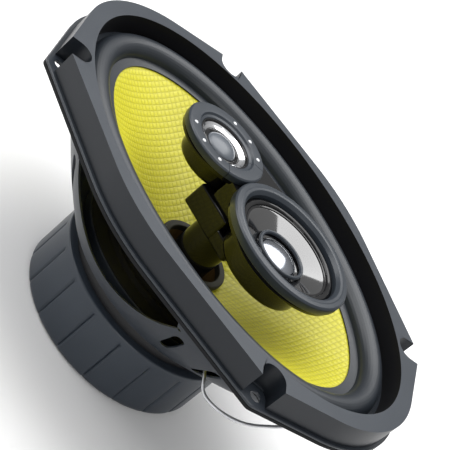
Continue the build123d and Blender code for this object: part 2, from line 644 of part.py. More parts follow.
def half_roll(x, radii, inner_z, outer_z, rise, sheet):
    """Turn a small surround: a flat, a half roll and a flat, through four radii from the inside."""
    inner, roll_in, roll_out, outer = radii
    crown_r, crown_z = (roll_in + roll_out) / 2, max(inner_z, outer_z) + rise
    with BuildPart(mode=Mode.PRIVATE) as ring:
        with BuildSketch(Plane.XZ):
            with BuildLine():
                Line((inner, inner_z), (roll_in, inner_z))
                ThreePointArc((roll_in, inner_z), (crown_r, crown_z), (roll_out, outer_z))
                Polyline((roll_out, outer_z), (outer, outer_z), (outer, outer_z + sheet),
                         (roll_out, outer_z + sheet))
                ThreePointArc((roll_out, outer_z + sheet), (crown_r, crown_z + sheet),
                              (roll_in, inner_z + sheet))
                Polyline((roll_in, inner_z + sheet), (inner, inner_z + sheet), (inner, inner_z))
            make_face()
        revolve(axis=Axis.Z)
    return Pos(x, 0, 0) * ring.part


MID_SURROUND_RADII = (MID_EDGE_R, 24.2, 27.0, 29.0)
with BuildPart() as mid_surround:
    add(half_roll(MID_X, MID_SURROUND_RADII, MID_EDGE_Z + MID_SHEET, WEB_TOP, 0.9, 0.4))
finish(mid_surround, "midrange_surround")

with BuildPart() as mid_bezel:
    with BuildSketch(Plane.XZ):
        with BuildLine():
            Polyline(
                (27.6, WEB_TOP + 0.4), (29.2, WEB_TOP + 0.4), (29.2, WEB_TOP), (MID_R, WEB_TOP),
                (MID_R, MID_TOP - 1.2), (MID_R - 0.8, MID_TOP - 0.5), (31.0, MID_TOP - 0.3),
                (30.4, MID_TOP), (28.8, MID_TOP - 0.2), (27.6, MID_TOP - 1.8),
                close=True,
            )
        make_face()
    revolve(axis=Axis.Z)
mid_bezel.part = Pos(MID_X, 0, 0) * mid_bezel.part
finish(mid_bezel, "midrange_bezel")

# ---------------------------------------------------------------- tweeter unit
TW_MOTOR_Z = TW_CUP_BOTTOM + CUP_WALL
with BuildPart() as tw_cup:
    add(cup(TWEETER_X + 1.0, TW_CUP_R, TW_CUP_BOTTOM, WEB_BOTTOM, CUP_WALL))
finish(tw_cup, "tweeter_cup")

with BuildPart() as tw_yoke:
    add(turned(
        TWEETER_X,
        (0, TW_YOKE_R, TW_MOTOR_Z, TW_MOTOR_Z + 2),
        (TW_YOKE_R0, TW_YOKE_R, TW_MOTOR_Z, TW_GAP_TOP),
    ))
finish(tw_yoke, "tweeter_yoke")

with BuildPart() as tw_magnet:
    add(turned(TWEETER_X, (0, 6.8, TW_MOTOR_Z + 2, 12.2)))
finish(tw_magnet, "tweeter_magnet")

with BuildPart() as tw_pole:
    add(turned(TWEETER_X, (0, 7.1, 12.2, 14.8)))
finish(tw_pole, "tweeter_pole_plate")

with BuildPart() as tw_spacer:
    add(turned(TWEETER_X, (9.4, 12.6, TW_GAP_TOP, WEB_BOTTOM), (9.4, TW_HOLE_R - 0.1, WEB_BOTTOM, 17.2)))
finish(tw_spacer, "tweeter_spacer")

with BuildPart() as tw_dome:
    add(dome(TWEETER_X, TW_DOME_R, TW_DOME_Z, TW_DOME_RISE, TW_SHEET))
finish(tw_dome, "tweeter_dome")

with BuildPart() as tw_coil:
    add(turned(TWEETER_X, (7.5, 7.65, 11.0, TW_DOME_Z), (7.5, 8.1, 11.4, 14.4)))
finish(tw_coil, "tweeter_voice_coil")

with BuildPart() as tw_surround:
    add(half_roll(TWEETER_X, (TW_DOME_R, 8.5, 10.5, TW_LIP_R1), TW_DOME_Z, 17.2, 0.5, TW_SHEET))
finish(tw_surround, "tweeter_surround")

with BuildPart() as tw_reflector:
    with BuildSketch(Plane.XZ):
        with BuildLine():
            Line((10.8, 17.46), (TW_LIP_R1 + 0.1, 17.46))
            Polyline(
                (TW_LIP_R1 + 0.1, 17.46), (TW_LIP_R1 + 0.1, 17.2), (14.0, 17.2), (14.0, 20.7), (13.5, 20.7)
            )
            ThreePointArc((13.5, 20.7), (12.2, 18.7), (10.8, 17.9))
            Line((10.8, 17.9), (10.8, 17.46))
        make_face()
    revolve(axis=Axis.Z)
tw_reflector.part = Pos(TWEETER_X, 0, 0) * tw_reflector.part
finish(tw_reflector, "tweeter_reflector")

# Bezel with a stepped recess; a separate plain sector closes the side next to the midrange.


def tweeter_ring():
    """Turn the tweeter's bezel ring with its stepped recess, on the row's axis."""
    with BuildPart(mode=Mode.PRIVATE) as ring:
        with BuildSketch(Plane.XZ):
            with BuildLine():
                Polyline(
                    (14.1, WEB_TOP), (TWEETER_R, WEB_TOP), (TWEETER_R, TWEETER_TOP - 0.8),
                    (TWEETER_R - 0.8, TWEETER_TOP), (16.0, TWEETER_TOP), (15.4, TWEETER_TOP - 1.2),
                    (14.1, TWEETER_TOP - 1.6),
                    close=True,
                )
            make_face()
        revolve(axis=Axis.Z)
    return ring.part


def sector_wedge(margin):
    """Fill the wedge of the plain sector, drawn in by a margin on both cheeks."""
    reach = 2 * TWEETER_R
    low, high = radians(-SECTOR_HALF), radians(SECTOR_HALF)
    shift = margin / sin(radians(SECTOR_HALF))
    with BuildPart(mode=Mode.PRIVATE) as wedge:
        with BuildSketch(Plane.XY.offset(WEB_TOP)):
            with BuildLine():
                Polyline((shift, 0), (shift + reach * cos(low), reach * sin(low)),
                         (shift + reach * cos(high), reach * sin(high)), close=True)
            make_face()
        extrude(amount=TWEETER_TOP)
    return wedge.part


with BuildPart() as tw_bezel:
    add(tweeter_ring())
    add(sector_wedge(0), mode=Mode.SUBTRACT)
    for angle in STUD_ANGLES:
        with Locations((STUD_RING_R * cos(radians(angle)), STUD_RING_R * sin(radians(angle)), TWEETER_TOP)):
            Hole(STUD_R, depth=TWEETER_TOP - WEB_TOP)
tw_bezel.part = Pos(TWEETER_X, 0, 0) * tw_bezel.part
finish(tw_bezel, "tweeter_bezel")

with BuildPart() as tw_sector:
    add(tweeter_ring())
    add(sector_wedge(SECTOR_GAP), mode=Mode.INTERSECT)
tw_sector.part = Pos(TWEETER_X, 0, 0) * tw_sector.part
finish(tw_sector, "tweeter_bezel_sector")

with BuildPart() as studs:
    for angle in STUD_ANGLES:
        with BuildSketch(Plane.XY.offset(WEB_TOP)):
            with Locations((TWEETER_X, 0)):
                with PolarLocations(STUD_RING_R, 1, start_angle=angle):
                    Circle(STUD_R)
        extrude(amount=TWEETER_TOP - WEB_TOP + STUD_RISE)
finish(studs, "bezel_studs")

# ---------------------------------------------------------------- terminals and leads
BOARD_Z = TAB_Z + SHEET_T
with BuildPart() as terminal_board:
    with BuildSketch(terminal_frame.offset(BOARD_Z)):
        with Locations(((BOARD_RHO0 + BOARD_RHO1) / 2, 0)):
            RectangleRounded(BOARD_RHO1 - BOARD_RHO0, 2 * BOARD_HALF, 1.0)
        with Locations((RIVET_RHO, RIVET_HALF), (RIVET_RHO, -RIVET_HALF)):
            Circle(RIVET_R, mode=Mode.SUBTRACT)
    extrude(amount=BOARD_T)
    add(wall_outer, mode=Mode.SUBTRACT)
finish(terminal_board, "terminal_board")

for name, side, width in (("terminal_positive", -1, 4.8), ("terminal_negative", 1, 2.8)):
    with BuildPart() as terminal:
        with BuildSketch(terminal_frame.offset(BOARD_Z + BOARD_T)):
            with Locations(((SPADE_RHO0 + SPADE_RHO1) / 2, side * RIVET_HALF)):
                Rectangle(SPADE_RHO1 - SPADE_RHO0, width)
            with Locations((RIVET_RHO, side * (RIVET_HALF + 4.0))):
                Rectangle(3.2, 8.0)
            with Locations((RIVET_RHO, side * RIVET_HALF)):
                Circle(RIVET_R + 1.3)
                Circle(RIVET_R, mode=Mode.SUBTRACT)
            with Locations((SPADE_RHO1 - 3.0, side * RIVET_HALF)):
                Circle(0.6, mode=Mode.SUBTRACT)
        extrude(amount=SPADE_T)
    finish(terminal, name)

with BuildPart() as terminal_rivets:
    with BuildSketch(terminal_frame.offset(TAB_Z)):
        with Locations((RIVET_RHO, RIVET_HALF), (RIVET_RHO, -RIVET_HALF)):
            Circle(RIVET_R)
    extrude(amount=SHEET_T + BOARD_T + SPADE_T)
    for level in (BOARD_Z + BOARD_T + SPADE_T, TAB_Z - 0.6):
        with BuildSketch(terminal_frame.offset(level)):
            with Locations((RIVET_RHO, RIVET_HALF), (RIVET_RHO, -RIVET_HALF)):
                Circle(RIVET_R + 0.9)
        extrude(amount=0.6)
finish(terminal_rivets, "terminal_rivets")

# Flexible and fixed leads are round tubes along straight runs joined by tangent arcs. Each
# arc takes 0.45 of the shorter of its two runs.
def lead(points, radius):
    """Sweep a round lead along a route of points with its corners rounded."""
    route = [Vector(*point) for point in points]
    radii = []
    for before, corner, after in zip(route, route[1:], route[2:]):
        half_turn = (corner - before).get_angle(after - corner) / 2
        reach = 0.45 * min((corner - before).length, (after - corner).length)
        radii.append(reach / (sin(radians(half_turn)) / cos(radians(half_turn))))
    with BuildPart(mode=Mode.PRIVATE) as tube:
        with BuildLine() as path:
            FilletPolyline(*route, radius=radii)
        with BuildSketch(Plane(route[0], z_dir=route[1] - route[0])):
            Circle(radius)
        sweep(path=path.wires()[0])
    return tube.part


def on_terminal(rho, tau, z):
    """Give a point by its distance out, its distance along the board and its height."""
    turn = radians(TERMINAL_ANGLE)
    return (rho * cos(turn) - tau * sin(turn), rho * sin(turn) + tau * cos(turn), z)


# Tinsel leads loop from under the cone, out through slots in the basket, to the terminal ears.
FAR_ROUTE = [
    (36, 8, -19.4), (54, 16, -22.5), (70, 24.5, -21.5), (78, 25.5, -24.5), (86.6, 20, -24.0), (87.8, 14.4, -20.3),
]
NEAR_ROUTE = [
    (28.0, -24.0, -19.4), (40.2, -39.5, -22.5), (50.3, -54.5, -21.5), (56.9, -59.1, -24.5), (66.5, -58.0, -24.0),
    (76.0, -47.0, -24.6), (82.6, -33.0, -24.2), (87.0, -20.4, -23.6), (87.8, -14.4, -20.3),
]
for name, route in (("tinsel_lead_positive", NEAR_ROUTE), ("tinsel_lead_negative", FAR_ROUTE)):
    with BuildPart() as tinsel:
        add(lead([on_terminal(rho, tau, z) for rho, tau, z in route], TINSEL_R))
    finish(tinsel, name)

# Fixed leads run from the terminals down inside the boot and up through the post.
LEAD_Z = BACK_BOTTOM - LEAD_R - 0.2
LEAD_SIDE = 1.0
LEAD_END_Z = BLOCK_BOTTOM + BLOCK_WALL + 6.0
FIXED_ROUTE = [
    (93.0, 4.0, BOARD_Z - 1.0), (88.0, 3.0, TAB_Z - 6), (62.0, LEAD_SIDE, FLOOR_Z - 5),
    (49.2, LEAD_SIDE, -44.5),
    (47.3, LEAD_SIDE, -47.6), (47.4, LEAD_SIDE, BACK_BOTTOM + 2.5), (46.9, LEAD_SIDE, BACK_BOTTOM + 0.2),
    (44.4, LEAD_SIDE, LEAD_Z), (2.4, LEAD_SIDE, LEAD_Z), (0.7, LEAD_SIDE, BACK_BOTTOM - 0.2),
    (0.1, LEAD_SIDE, BACK_BOTTOM + 1.7), (0.3, LEAD_SIDE, -38), (-0.3, LEAD_SIDE, LEAD_END_Z),
]
for name, side in (("crossover_lead_positive", -1), ("crossover_lead_negative", 1)):
    with BuildPart() as fixed:
        add(lead([on_terminal(rho, side * tau, z) for rho, tau, z in FIXED_ROUTE], LEAD_R))
    finish(fixed, name)

for piece in finished:
    export_step(piece, f"parts/{piece.label}.step")
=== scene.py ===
"""An oval three-way coaxial car speaker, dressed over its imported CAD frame.

Every surface is computed with numpy as a grid of points: rows run along a cross-section and
columns run round the piece. Lengths are in metres; MM turns millimetres into metres.
"""

import bmesh
import bpy
import numpy as np
from mathutils import Matrix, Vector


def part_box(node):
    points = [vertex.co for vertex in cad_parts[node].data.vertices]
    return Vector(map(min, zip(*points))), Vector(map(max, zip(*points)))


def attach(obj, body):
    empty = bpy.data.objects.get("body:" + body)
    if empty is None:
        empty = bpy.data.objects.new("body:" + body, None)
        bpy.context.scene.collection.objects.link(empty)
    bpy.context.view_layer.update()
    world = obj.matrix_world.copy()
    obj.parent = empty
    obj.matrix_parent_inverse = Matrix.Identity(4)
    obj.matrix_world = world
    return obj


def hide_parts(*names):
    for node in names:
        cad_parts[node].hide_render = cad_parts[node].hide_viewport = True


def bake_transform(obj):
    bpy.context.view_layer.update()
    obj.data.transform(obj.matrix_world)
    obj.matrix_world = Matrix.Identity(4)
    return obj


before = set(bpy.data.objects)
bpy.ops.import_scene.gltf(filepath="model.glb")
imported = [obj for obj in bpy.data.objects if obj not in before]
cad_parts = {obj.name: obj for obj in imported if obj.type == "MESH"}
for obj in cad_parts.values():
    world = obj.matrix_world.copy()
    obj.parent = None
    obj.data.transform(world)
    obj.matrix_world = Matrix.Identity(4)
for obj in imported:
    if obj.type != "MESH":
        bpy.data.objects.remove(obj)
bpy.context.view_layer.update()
MM = 0.001

# ---------------------------------------------------------------- sizes read from the frame
def low(node):
    """Lowest corner of a CAD node, in metres."""
    return np.array(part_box(node)[0])


def high(node):
    """Highest corner of a CAD node, in metres."""
    return np.array(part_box(node)[1])


def radius(node):
    """Radius of a round CAD node, from its width along Y."""
    return (high(node)[1] - low(node)[1]) / 2


def middle_x(node):
    """Place of a CAD node's axis along X."""
    return (high(node)[0] + low(node)[0]) / 2


FLANGE_TOP = low("trim_ring")[2]
TRIM_TOP = high("trim_ring")[2]
FOAM_TOP = high("mounting_gasket")[2]
TWEETER_X, TWEETER_R = middle_x("tweeter_reflector"), radius("tweeter_bezel")
MID_X, MID_R = middle_x("midrange_bezel"), radius("midrange_bezel")
BOOT_R, BOOT_FRONT, BOOT_BACK = radius("magnet_boot"), high("magnet_boot")[2], low("magnet_boot")[2]
MAGNET_R = radius("ring_magnet")

# Ovals, each as its half axes along X and Y.
TRIM_OVAL = (107.0 * MM, 76.6 * MM)
WALL_OVALS = ((1.8, 109.0, 75.0), (-17.5, 86.0, 69.0), (-37.2, 56.8, 56.8))
CONE_OVAL, CONE_EDGE_Z = (86.8 * MM, 55.2 * MM), 2.6 * MM
NECK_R, NECK_Z = 17.0 * MM, -26.0 * MM
CROWN_OVAL = (97.6 * MM, 66.3 * MM)

# Outline of the trim ring: straight sides and ends, rounded where they meet on the axes.
SIDE_APEX_Y, CORNER, END_APEX_X = 87.66, (85.3, 65.2), 127.2
SIDE_R, END_R = 90.0, 60.5
NOTCH_CENTRE, NOTCH_R, NOTCH_TURN = (81.6, 59.6), 6.3, 49.0
HOLE_CENTRE, HOLE_R = (83.2, 60.0), 2.75
FLANGE_MARGIN, FLANGE_CORNER_R = 1.8, 4.0


# ---------------------------------------------------------------- mesh helpers
def grid_faces(rows, columns, closed_rows, closed_columns):
    """Quads of a grid of points numbered row by row; a closed direction wraps round."""
    last_row = rows if closed_rows else rows - 1
    last_column = columns if closed_columns else columns - 1
    r, c = np.meshgrid(np.arange(last_row), np.arange(last_column), indexing="ij")
    r2, c2 = (r + 1) % rows, (c + 1) % columns
    quads = [r * columns + c, r * columns + c2, r2 * columns + c2, r2 * columns + c]
    return np.stack(quads, -1).reshape(-1, 4)


def tidy(mesh, distance=1e-6):
    """Merge doubled points, drop empty faces and turn the faces outwards."""
    work = bmesh.new()
    work.from_mesh(mesh)
    bmesh.ops.remove_doubles(work, verts=work.verts, dist=distance)
    bmesh.ops.dissolve_degenerate(work, edges=work.edges, dist=distance)
    bmesh.ops.recalc_face_normals(work, faces=work.faces)
    work.to_mesh(mesh)
    work.free()


def make_piece(name, points, faces, material, body, replaces=(), sharp=32.0, merge=True):
    """Build a piece from points and faces, shade it smooth up to an edge angle and ride it on a body."""
    mesh = bpy.data.meshes.new(name)
    face_lists = faces.tolist() if isinstance(faces, np.ndarray) else faces
    mesh.from_pydata(np.asarray(points).reshape(-1, 3).tolist(), [], face_lists)
    if merge:
        tidy(mesh)
    mesh.shade_smooth()
    mesh.set_sharp_from_angle(angle=np.radians(sharp))
    piece = bpy.data.objects.new(name, mesh)
    bpy.context.scene.collection.objects.link(piece)
    mesh.materials.append(material)
    if replaces:
        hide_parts(*replaces)
    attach(piece, body)
    return piece


def ring_piece(name, rails, material, body, replaces=(), sharp=32.0):
    """Build a piece whose cross-section closes on itself, from points shaped (rows, columns, 3)."""
    rows, columns = rails.shape[:2]
    faces = grid_faces(rows, columns, True, True)
    return make_piece(name, rails, faces, material, body, replaces, sharp)


def round_corners(outline, radii, steps=4):
    """Round the corners of a closed 2D outline.

    At a corner with turn t, the arc of radius r starts and ends r*tan(t/2) along its sides;
    here a quadratic blend through the corner stands for that arc, sampled at even steps.
    """
    corners = np.asarray(outline, float)
    radii = np.broadcast_to(np.asarray(radii, float), (len(corners),))
    before, after = np.roll(corners, 1, 0), np.roll(corners, -1, 0)
    to_before, to_after = before - corners, after - corners
    len_b, len_a = np.linalg.norm(to_before, axis=1), np.linalg.norm(to_after, axis=1)
    unit_b, unit_a = to_before / len_b[:, None], to_after / len_a[:, None]
    half_inner = np.arccos(np.clip((unit_b * unit_a).sum(1), -1, 1)) / 2
    reach = np.minimum(radii / np.tan(np.maximum(half_inner, 1e-3)), 0.49 * np.minimum(len_b, len_a))
    start, end = corners + unit_b * reach[:, None], corners + unit_a * reach[:, None]
    s = np.linspace(0, 1, steps + 1)[None, :, None]
    arcs = (1 - s) ** 2 * start[:, None] + 2 * s * (1 - s) * corners[:, None] + s ** 2 * end[:, None]
    sharp = reach < 1e-9
    kept = [arcs[i] if not sharp[i] else corners[i:i + 1] for i in range(len(corners))]
    return np.concatenate(kept)


def turned(section, x=0.0, columns=96):
    """Turn a cross-section of (radius, z) points about an upright axis at x."""
    section = np.asarray(section, float)
    turn = np.linspace(0, 2 * np.pi, columns, endpoint=False)
    r, z = section[:, :1], section[:, 1:]
    return np.stack([x + r * np.cos(turn), r * np.sin(turn), z + 0 * turn], -1)


def along_oval(section, oval, columns=192):
    """Carry a section of (outward distance, z) points round an ellipse, along its normals.

    A point is E(t) + d * N(t), with E the ellipse and N its unit outward normal.
    """
    section = np.asarray(section, float)
    a, b = oval
    turn = np.linspace(0, 2 * np.pi, columns, endpoint=False)
    normal = np.stack([b * np.cos(turn), a * np.sin(turn)], -1)
    normal /= np.linalg.norm(normal, axis=1)[:, None]
    base = np.stack([a * np.cos(turn), b * np.sin(turn)], -1)
    flat = base[None] + section[:, :1, None] * normal[None]
    z = np.broadcast_to(section[:, 1:], flat.shape[:2])
    return np.concatenate([flat, z[..., None]], -1)


# ---------------------------------------------------------------- shader effects
def node_group(name, inputs, outputs):
    """Start a shader node group with named sockets and give its nodes, links and ends."""
    group = bpy.data.node_groups.new(name, "ShaderNodeTree")
    for label, kind, value in inputs:
        socket = group.interface.new_socket(name=label, in_out="INPUT", socket_type=kind)
        if value is not None:
            socket.default_value = value
    for label, kind in outputs:
        group.interface.new_socket(name=label, in_out="OUTPUT", socket_type=kind)
    start = group.nodes.new("NodeGroupInput")
    end = group.nodes.new("NodeGroupOutput")
    return group, start, end


def math(tree, operation, first, second=0.5, third=None, clamp=False):
    """Add a Math node and give its output; the terms are sockets or numbers."""
    node = tree.nodes.new("ShaderNodeMath")
    node.operation = operation
    node.use_clamp = clamp
    for index, term in enumerate((first, second, third)):
        if term is None:
            continue
        if isinstance(term, (int, float)):
            node.inputs[index].default_value = term
        else:
            tree.links.new(term, node.inputs[index])
    return node.outputs[0]


def mix_colour(tree, factor, first, second):
    """Add a colour Mix node and give its output; the colours are sockets or triples."""
    node = tree.nodes.new("ShaderNodeMix")
    node.data_type = "RGBA"
    for socket, term in ((node.inputs["Factor"], factor), (node.inputs[6], first), (node.inputs[7], second)):
        if isinstance(term, (int, float)):
            socket.default_value = term
        elif isinstance(term, tuple):
            socket.default_value = (*term, 1.0) if len(term) == 3 else term
        else:
            tree.links.new(term, socket)
    return node.outputs[2]


def object_place(tree):
    """Give the Object texture coordinate."""
    return tree.nodes.new("ShaderNodeTexCoord").outputs["Object"]


def noise(tree, place, scale, detail=3.0, rough=0.55):
    """Add a Noise texture on a place and give its value."""
    node = tree.nodes.new("ShaderNodeTexNoise")
    node.inputs["Scale"].default_value = scale
    node.inputs["Detail"].default_value = detail
    node.inputs["Roughness"].default_value = rough
    tree.links.new(place, node.inputs["Vector"])
    return node.outputs["Fac"]


def moulded_grain():
    """Group: fine moulded grain with slow colour variation.

    Grain is a fine noise for the bump's height; Shade mixes two noises for colour and gloss.
    """
    group, start, end = node_group(
        "moulded grain",
        [("Grain Scale", "NodeSocketFloat", 2500.0), ("Patch Scale", "NodeSocketFloat", 60.0)],
        [("Grain", "NodeSocketFloat"), ("Shade", "NodeSocketFloat")],
    )
    place = object_place(group)
    fine = group.nodes.new("ShaderNodeTexNoise")
    fine.inputs["Detail"].default_value = 2.0
    patch = group.nodes.new("ShaderNodeTexNoise")
    patch.inputs["Detail"].default_value = 4.0
    group.links.new(place, fine.inputs["Vector"])
    group.links.new(place, patch.inputs["Vector"])
    group.links.new(start.outputs["Grain Scale"], fine.inputs["Scale"])
    group.links.new(start.outputs["Patch Scale"], patch.inputs["Scale"])
    group.links.new(fine.outputs["Fac"], end.inputs["Grain"])
    shade = math(group, "ADD", math(group, "MULTIPLY", fine.outputs["Fac"], 0.35),
                 math(group, "MULTIPLY", patch.outputs["Fac"], 0.65))
    group.links.new(shade, end.inputs["Shade"])
    return group


def plain_weave():
    """Group: a plain weave of flat yarns along X and Y.

    Each cell of the pitch shows either the X yarn or the Y yarn, as on a chessboard. The yarn on
    top is high at the cell's middle and dips to the gaps, so height = product of two humps.
    """
    group, start, end = node_group(
        "plain weave",
        [("Pitch X", "NodeSocketFloat", 2.6 * MM), ("Pitch Y", "NodeSocketFloat", 2.6 * MM)],
        [("Height", "NodeSocketFloat"), ("Gap", "NodeSocketFloat"), ("Over", "NodeSocketFloat"),
         ("Fibre", "NodeSocketFloat")],
    )
    place = object_place(group)
    split = group.nodes.new("ShaderNodeSeparateXYZ")
    group.links.new(place, split.inputs[0])
    u = math(group, "DIVIDE", split.outputs["X"], start.outputs["Pitch X"])
    v = math(group, "DIVIDE", split.outputs["Y"], start.outputs["Pitch Y"])
    cell = math(group, "ADD", math(group, "FLOOR", u, 0), math(group, "FLOOR", v, 0))
    over = math(group, "PINGPONG", cell, 1.0)
    hump_u = math(group, "ABSOLUTE", math(group, "SINE", math(group, "MULTIPLY", u, np.pi), 0), 0)
    hump_v = math(group, "ABSOLUTE", math(group, "SINE", math(group, "MULTIPLY", v, np.pi), 0), 0)
    narrow_u, narrow_v = math(group, "POWER", hump_u, 0.35), math(group, "POWER", hump_v, 0.35)
    along_x = math(group, "MULTIPLY", narrow_v, math(group, "POWER", hump_u, 0.8))
    along_y = math(group, "MULTIPLY", narrow_u, math(group, "POWER", hump_v, 0.8))
    height = math(group, "ADD", math(group, "MULTIPLY", along_x, over),
                  math(group, "MULTIPLY", along_y, math(group, "SUBTRACT", 1.0, over)))
    # Gap rises towards the cell edges; the yellow weave darkens its colour there as painted shade.
    gap = math(group, "SUBTRACT", 1.0, math(group, "MULTIPLY", narrow_u, narrow_v), clamp=True)
    fibres = []
    for stretch in ((150.0, 5200.0), (5200.0, 150.0)):
        mapping = group.nodes.new("ShaderNodeMapping")
        mapping.inputs["Scale"].default_value = (*stretch, 150.0)
        group.links.new(place, mapping.inputs["Vector"])
        fibres.append(noise(group, mapping.outputs[0], 1.0, 2.0))
    fibre = math(group, "ADD", math(group, "MULTIPLY", fibres[0], over),
                 math(group, "MULTIPLY", fibres[1], math(group, "SUBTRACT", 1.0, over)))
    group.links.new(height, end.inputs["Height"])
    group.links.new(gap, end.inputs["Gap"])
    group.links.new(over, end.inputs["Over"])
    group.links.new(fibre, end.inputs["Fibre"])
    return group


GRAIN = moulded_grain()
WEAVE = plain_weave()


# ---------------------------------------------------------------- materials
def new_material(name, **settings):
    """Start a Principled material, with constants set on the shader's own sockets."""
    material = bpy.data.materials.new(name)
    material.use_nodes = True
    tree = material.node_tree
    shader = tree.nodes["Principled BSDF"]
    for label, value in settings.items():
        shader.inputs[label.replace("_", " ")].default_value = value
    return material, tree, shader


def add_group(tree, group, **values):
    """Place a node group in a material with its own values."""
    node = tree.nodes.new("ShaderNodeGroup")
    node.node_tree = group
    for label, value in values.items():
        node.inputs[label.replace("_", " ")].default_value = value
    return node


def bump(tree, shader, height, distance, strength=1.0):
    """Feed a height into the shader's normal."""
    node = tree.nodes.new("ShaderNodeBump")
    node.inputs["Strength"].default_value = strength
    node.inputs["Distance"].default_value = distance
    tree.links.new(height, node.inputs["Height"])
    tree.links.new(node.outputs["Normal"], shader.inputs["Normal"])


def grained(name, dark, light, roughness, grain_scale, depth, patch_scale=60.0, spread=0.12, shine=0.45):
    """Satin moulding or paint: two close tones by patches, fine grain in the bump and the gloss."""
    material, tree, shader = new_material(name, Specular_IOR_Level=shine)
    grain = add_group(tree, GRAIN, Grain_Scale=grain_scale, Patch_Scale=patch_scale)
    tree.links.new(mix_colour(tree, grain.outputs["Shade"], dark, light), shader.inputs["Base Color"])
    gloss = math(tree, "MULTIPLY_ADD", grain.outputs["Shade"], spread, roughness - spread / 2)
    tree.links.new(gloss, shader.inputs["Roughness"])
    bump(tree, shader, grain.outputs["Grain"], depth)
    return material


def weave_yellow():
    """Glazed yellow weave: yarns in two close yellows, olive painted shade in the gaps between yarns, fine
    fibres along each yarn.
    """
    material, tree, shader = new_material(
        "yellow weave", Coat_Weight=0.25, Coat_Roughness=0.25, Specular_IOR_Level=0.4)
    weave = add_group(tree, WEAVE)
    yarn = mix_colour(tree, weave.outputs["Fibre"], (0.56, 0.52, 0.008), (0.70, 0.65, 0.018))
    # Painted shade: the colour darkens towards olive in the gaps between the yarns.
    shade = math(tree, "MULTIPLY", weave.outputs["Gap"], 0.55, clamp=True)
    yarn_with_gap_painted_shade = mix_colour(tree, shade, yarn, (0.30, 0.27, 0.005))
    tree.links.new(yarn_with_gap_painted_shade, shader.inputs["Base Color"])
    tree.links.new(math(tree, "MULTIPLY_ADD", weave.outputs["Fibre"], 0.2, 0.38), shader.inputs["Roughness"])
    height = math(tree, "MULTIPLY_ADD", weave.outputs["Fibre"], 0.12, weave.outputs["Height"])
    bump(tree, shader, height, 0.22 * MM)
    return material


def gloss_black(name, shine, ripple):
    """Polished black moulding: near-black with a soft ripple and faint haze."""
    material, tree, shader = new_material(
        name, Base_Color=(0.004, 0.004, 0.0045, 1.0), IOR=1.25 + 0.5 * shine, Specular_IOR_Level=shine,
        Coat_Weight=shine, Coat_Roughness=0.04)
    place = object_place(tree)
    haze = noise(tree, place, 90.0, 3.0)
    tree.links.new(math(tree, "MULTIPLY_ADD", haze, 0.10, 0.05), shader.inputs["Roughness"])
    bump(tree, shader, noise(tree, place, 140.0, 1.0), ripple, 0.5)
    return material


def bright_metal(name, colour, roughness, spread=0.08, grain=1800.0, depth=0.004 * MM):
    """Plated or metallised surface: small gloss variation and a very fine bump."""
    material, tree, shader = new_material(name, Metallic=1.0)
    grained_node = add_group(tree, GRAIN, Grain_Scale=grain, Patch_Scale=120.0)
    darker = tuple(0.86 * c for c in colour)
    shade = grained_node.outputs["Shade"]
    tree.links.new(mix_colour(tree, shade, darker, colour), shader.inputs["Base Color"])
    tree.links.new(math(tree, "MULTIPLY_ADD", shade, spread, roughness), shader.inputs["Roughness"])
    bump(tree, shader, grained_node.outputs["Grain"], depth)
    return material


TRIM = grained("slate trim moulding", (0.020, 0.026, 0.035), (0.034, 0.042, 0.054), 0.36, 2600.0, 0.02 * MM)
# Inner wall and side walls of the one trim moulding: the same plastic in darker colours, as painted shade.
TRIM_INNER_PAINTED_SHADE = grained("trim inner wall painted shade", (0.003, 0.003, 0.004), (0.006, 0.006, 0.007),
                     0.5, 2200.0, 0.02 * MM, shine=0.2)
TRIM_SIDE_PAINTED_SHADE = grained("trim side painted shade", (0.007, 0.009, 0.012), (0.014, 0.017, 0.022),
                     0.40, 2200.0, 0.02 * MM, shine=0.3)
BASKET_PAINT = grained("slate basket paint", (0.014, 0.018, 0.024), (0.025, 0.031, 0.040),
                       0.34, 1500.0, 0.03 * MM)
SURROUND_RUBBER = grained("surround rubber", (0.012, 0.016, 0.021), (0.021, 0.026, 0.034),
                          0.36, 3200.0, 0.015 * MM)
BOOT_RUBBER = grained("boot rubber", (0.021, 0.028, 0.038), (0.036, 0.046, 0.061), 0.38, 1800.0, 0.03 * MM)
FOAM = grained("gasket foam", (0.006, 0.006, 0.007), (0.012, 0.013, 0.014),
               0.8, 1400.0, 0.15 * MM, shine=0.2)
BEZEL = grained("slate bezel moulding", (0.020, 0.026, 0.034), (0.032, 0.040, 0.051),
                0.32, 2600.0, 0.012 * MM)
COLLAR = grained("neck collar", (0.010, 0.010, 0.009), (0.020, 0.019, 0.015),
                 0.62, 2200.0, 0.03 * MM, shine=0.3)
SPIDER_CLOTH = grained("spider cloth", (0.006, 0.006, 0.006), (0.014, 0.013, 0.012),
                       0.8, 1600.0, 0.12 * MM, shine=0.2)
FERRITE = grained("ferrite", (0.010, 0.010, 0.011), (0.018, 0.018, 0.020), 0.55, 1200.0, 0.04 * MM)
PLATE_BLACK = grained("blackened plate", (0.006, 0.006, 0.007), (0.011, 0.012, 0.013),
                      0.45, 1200.0, 0.03 * MM)
PHENOLIC = grained("phenolic board", (0.03, 0.016, 0.008), (0.05, 0.026, 0.012), 0.5, 900.0, 0.03 * MM)
WIRE = grained("wire sleeve", (0.008, 0.008, 0.009), (0.014, 0.014, 0.016), 0.4, 2500.0, 0.01 * MM)
DOME = grained("satin dome", (0.060, 0.070, 0.084), (0.100, 0.115, 0.135),
               0.30, 4000.0, 0.008 * MM, shine=0.7)
STUD = grained("white stud", (0.75, 0.76, 0.78), (0.85, 0.86, 0.87), 0.3, 3000.0, 0.004 * MM)
SLEEVE = grained("capacitor sleeve", (0.02, 0.05, 0.16), (0.03, 0.07, 0.22), 0.3, 1500.0, 0.01 * MM)
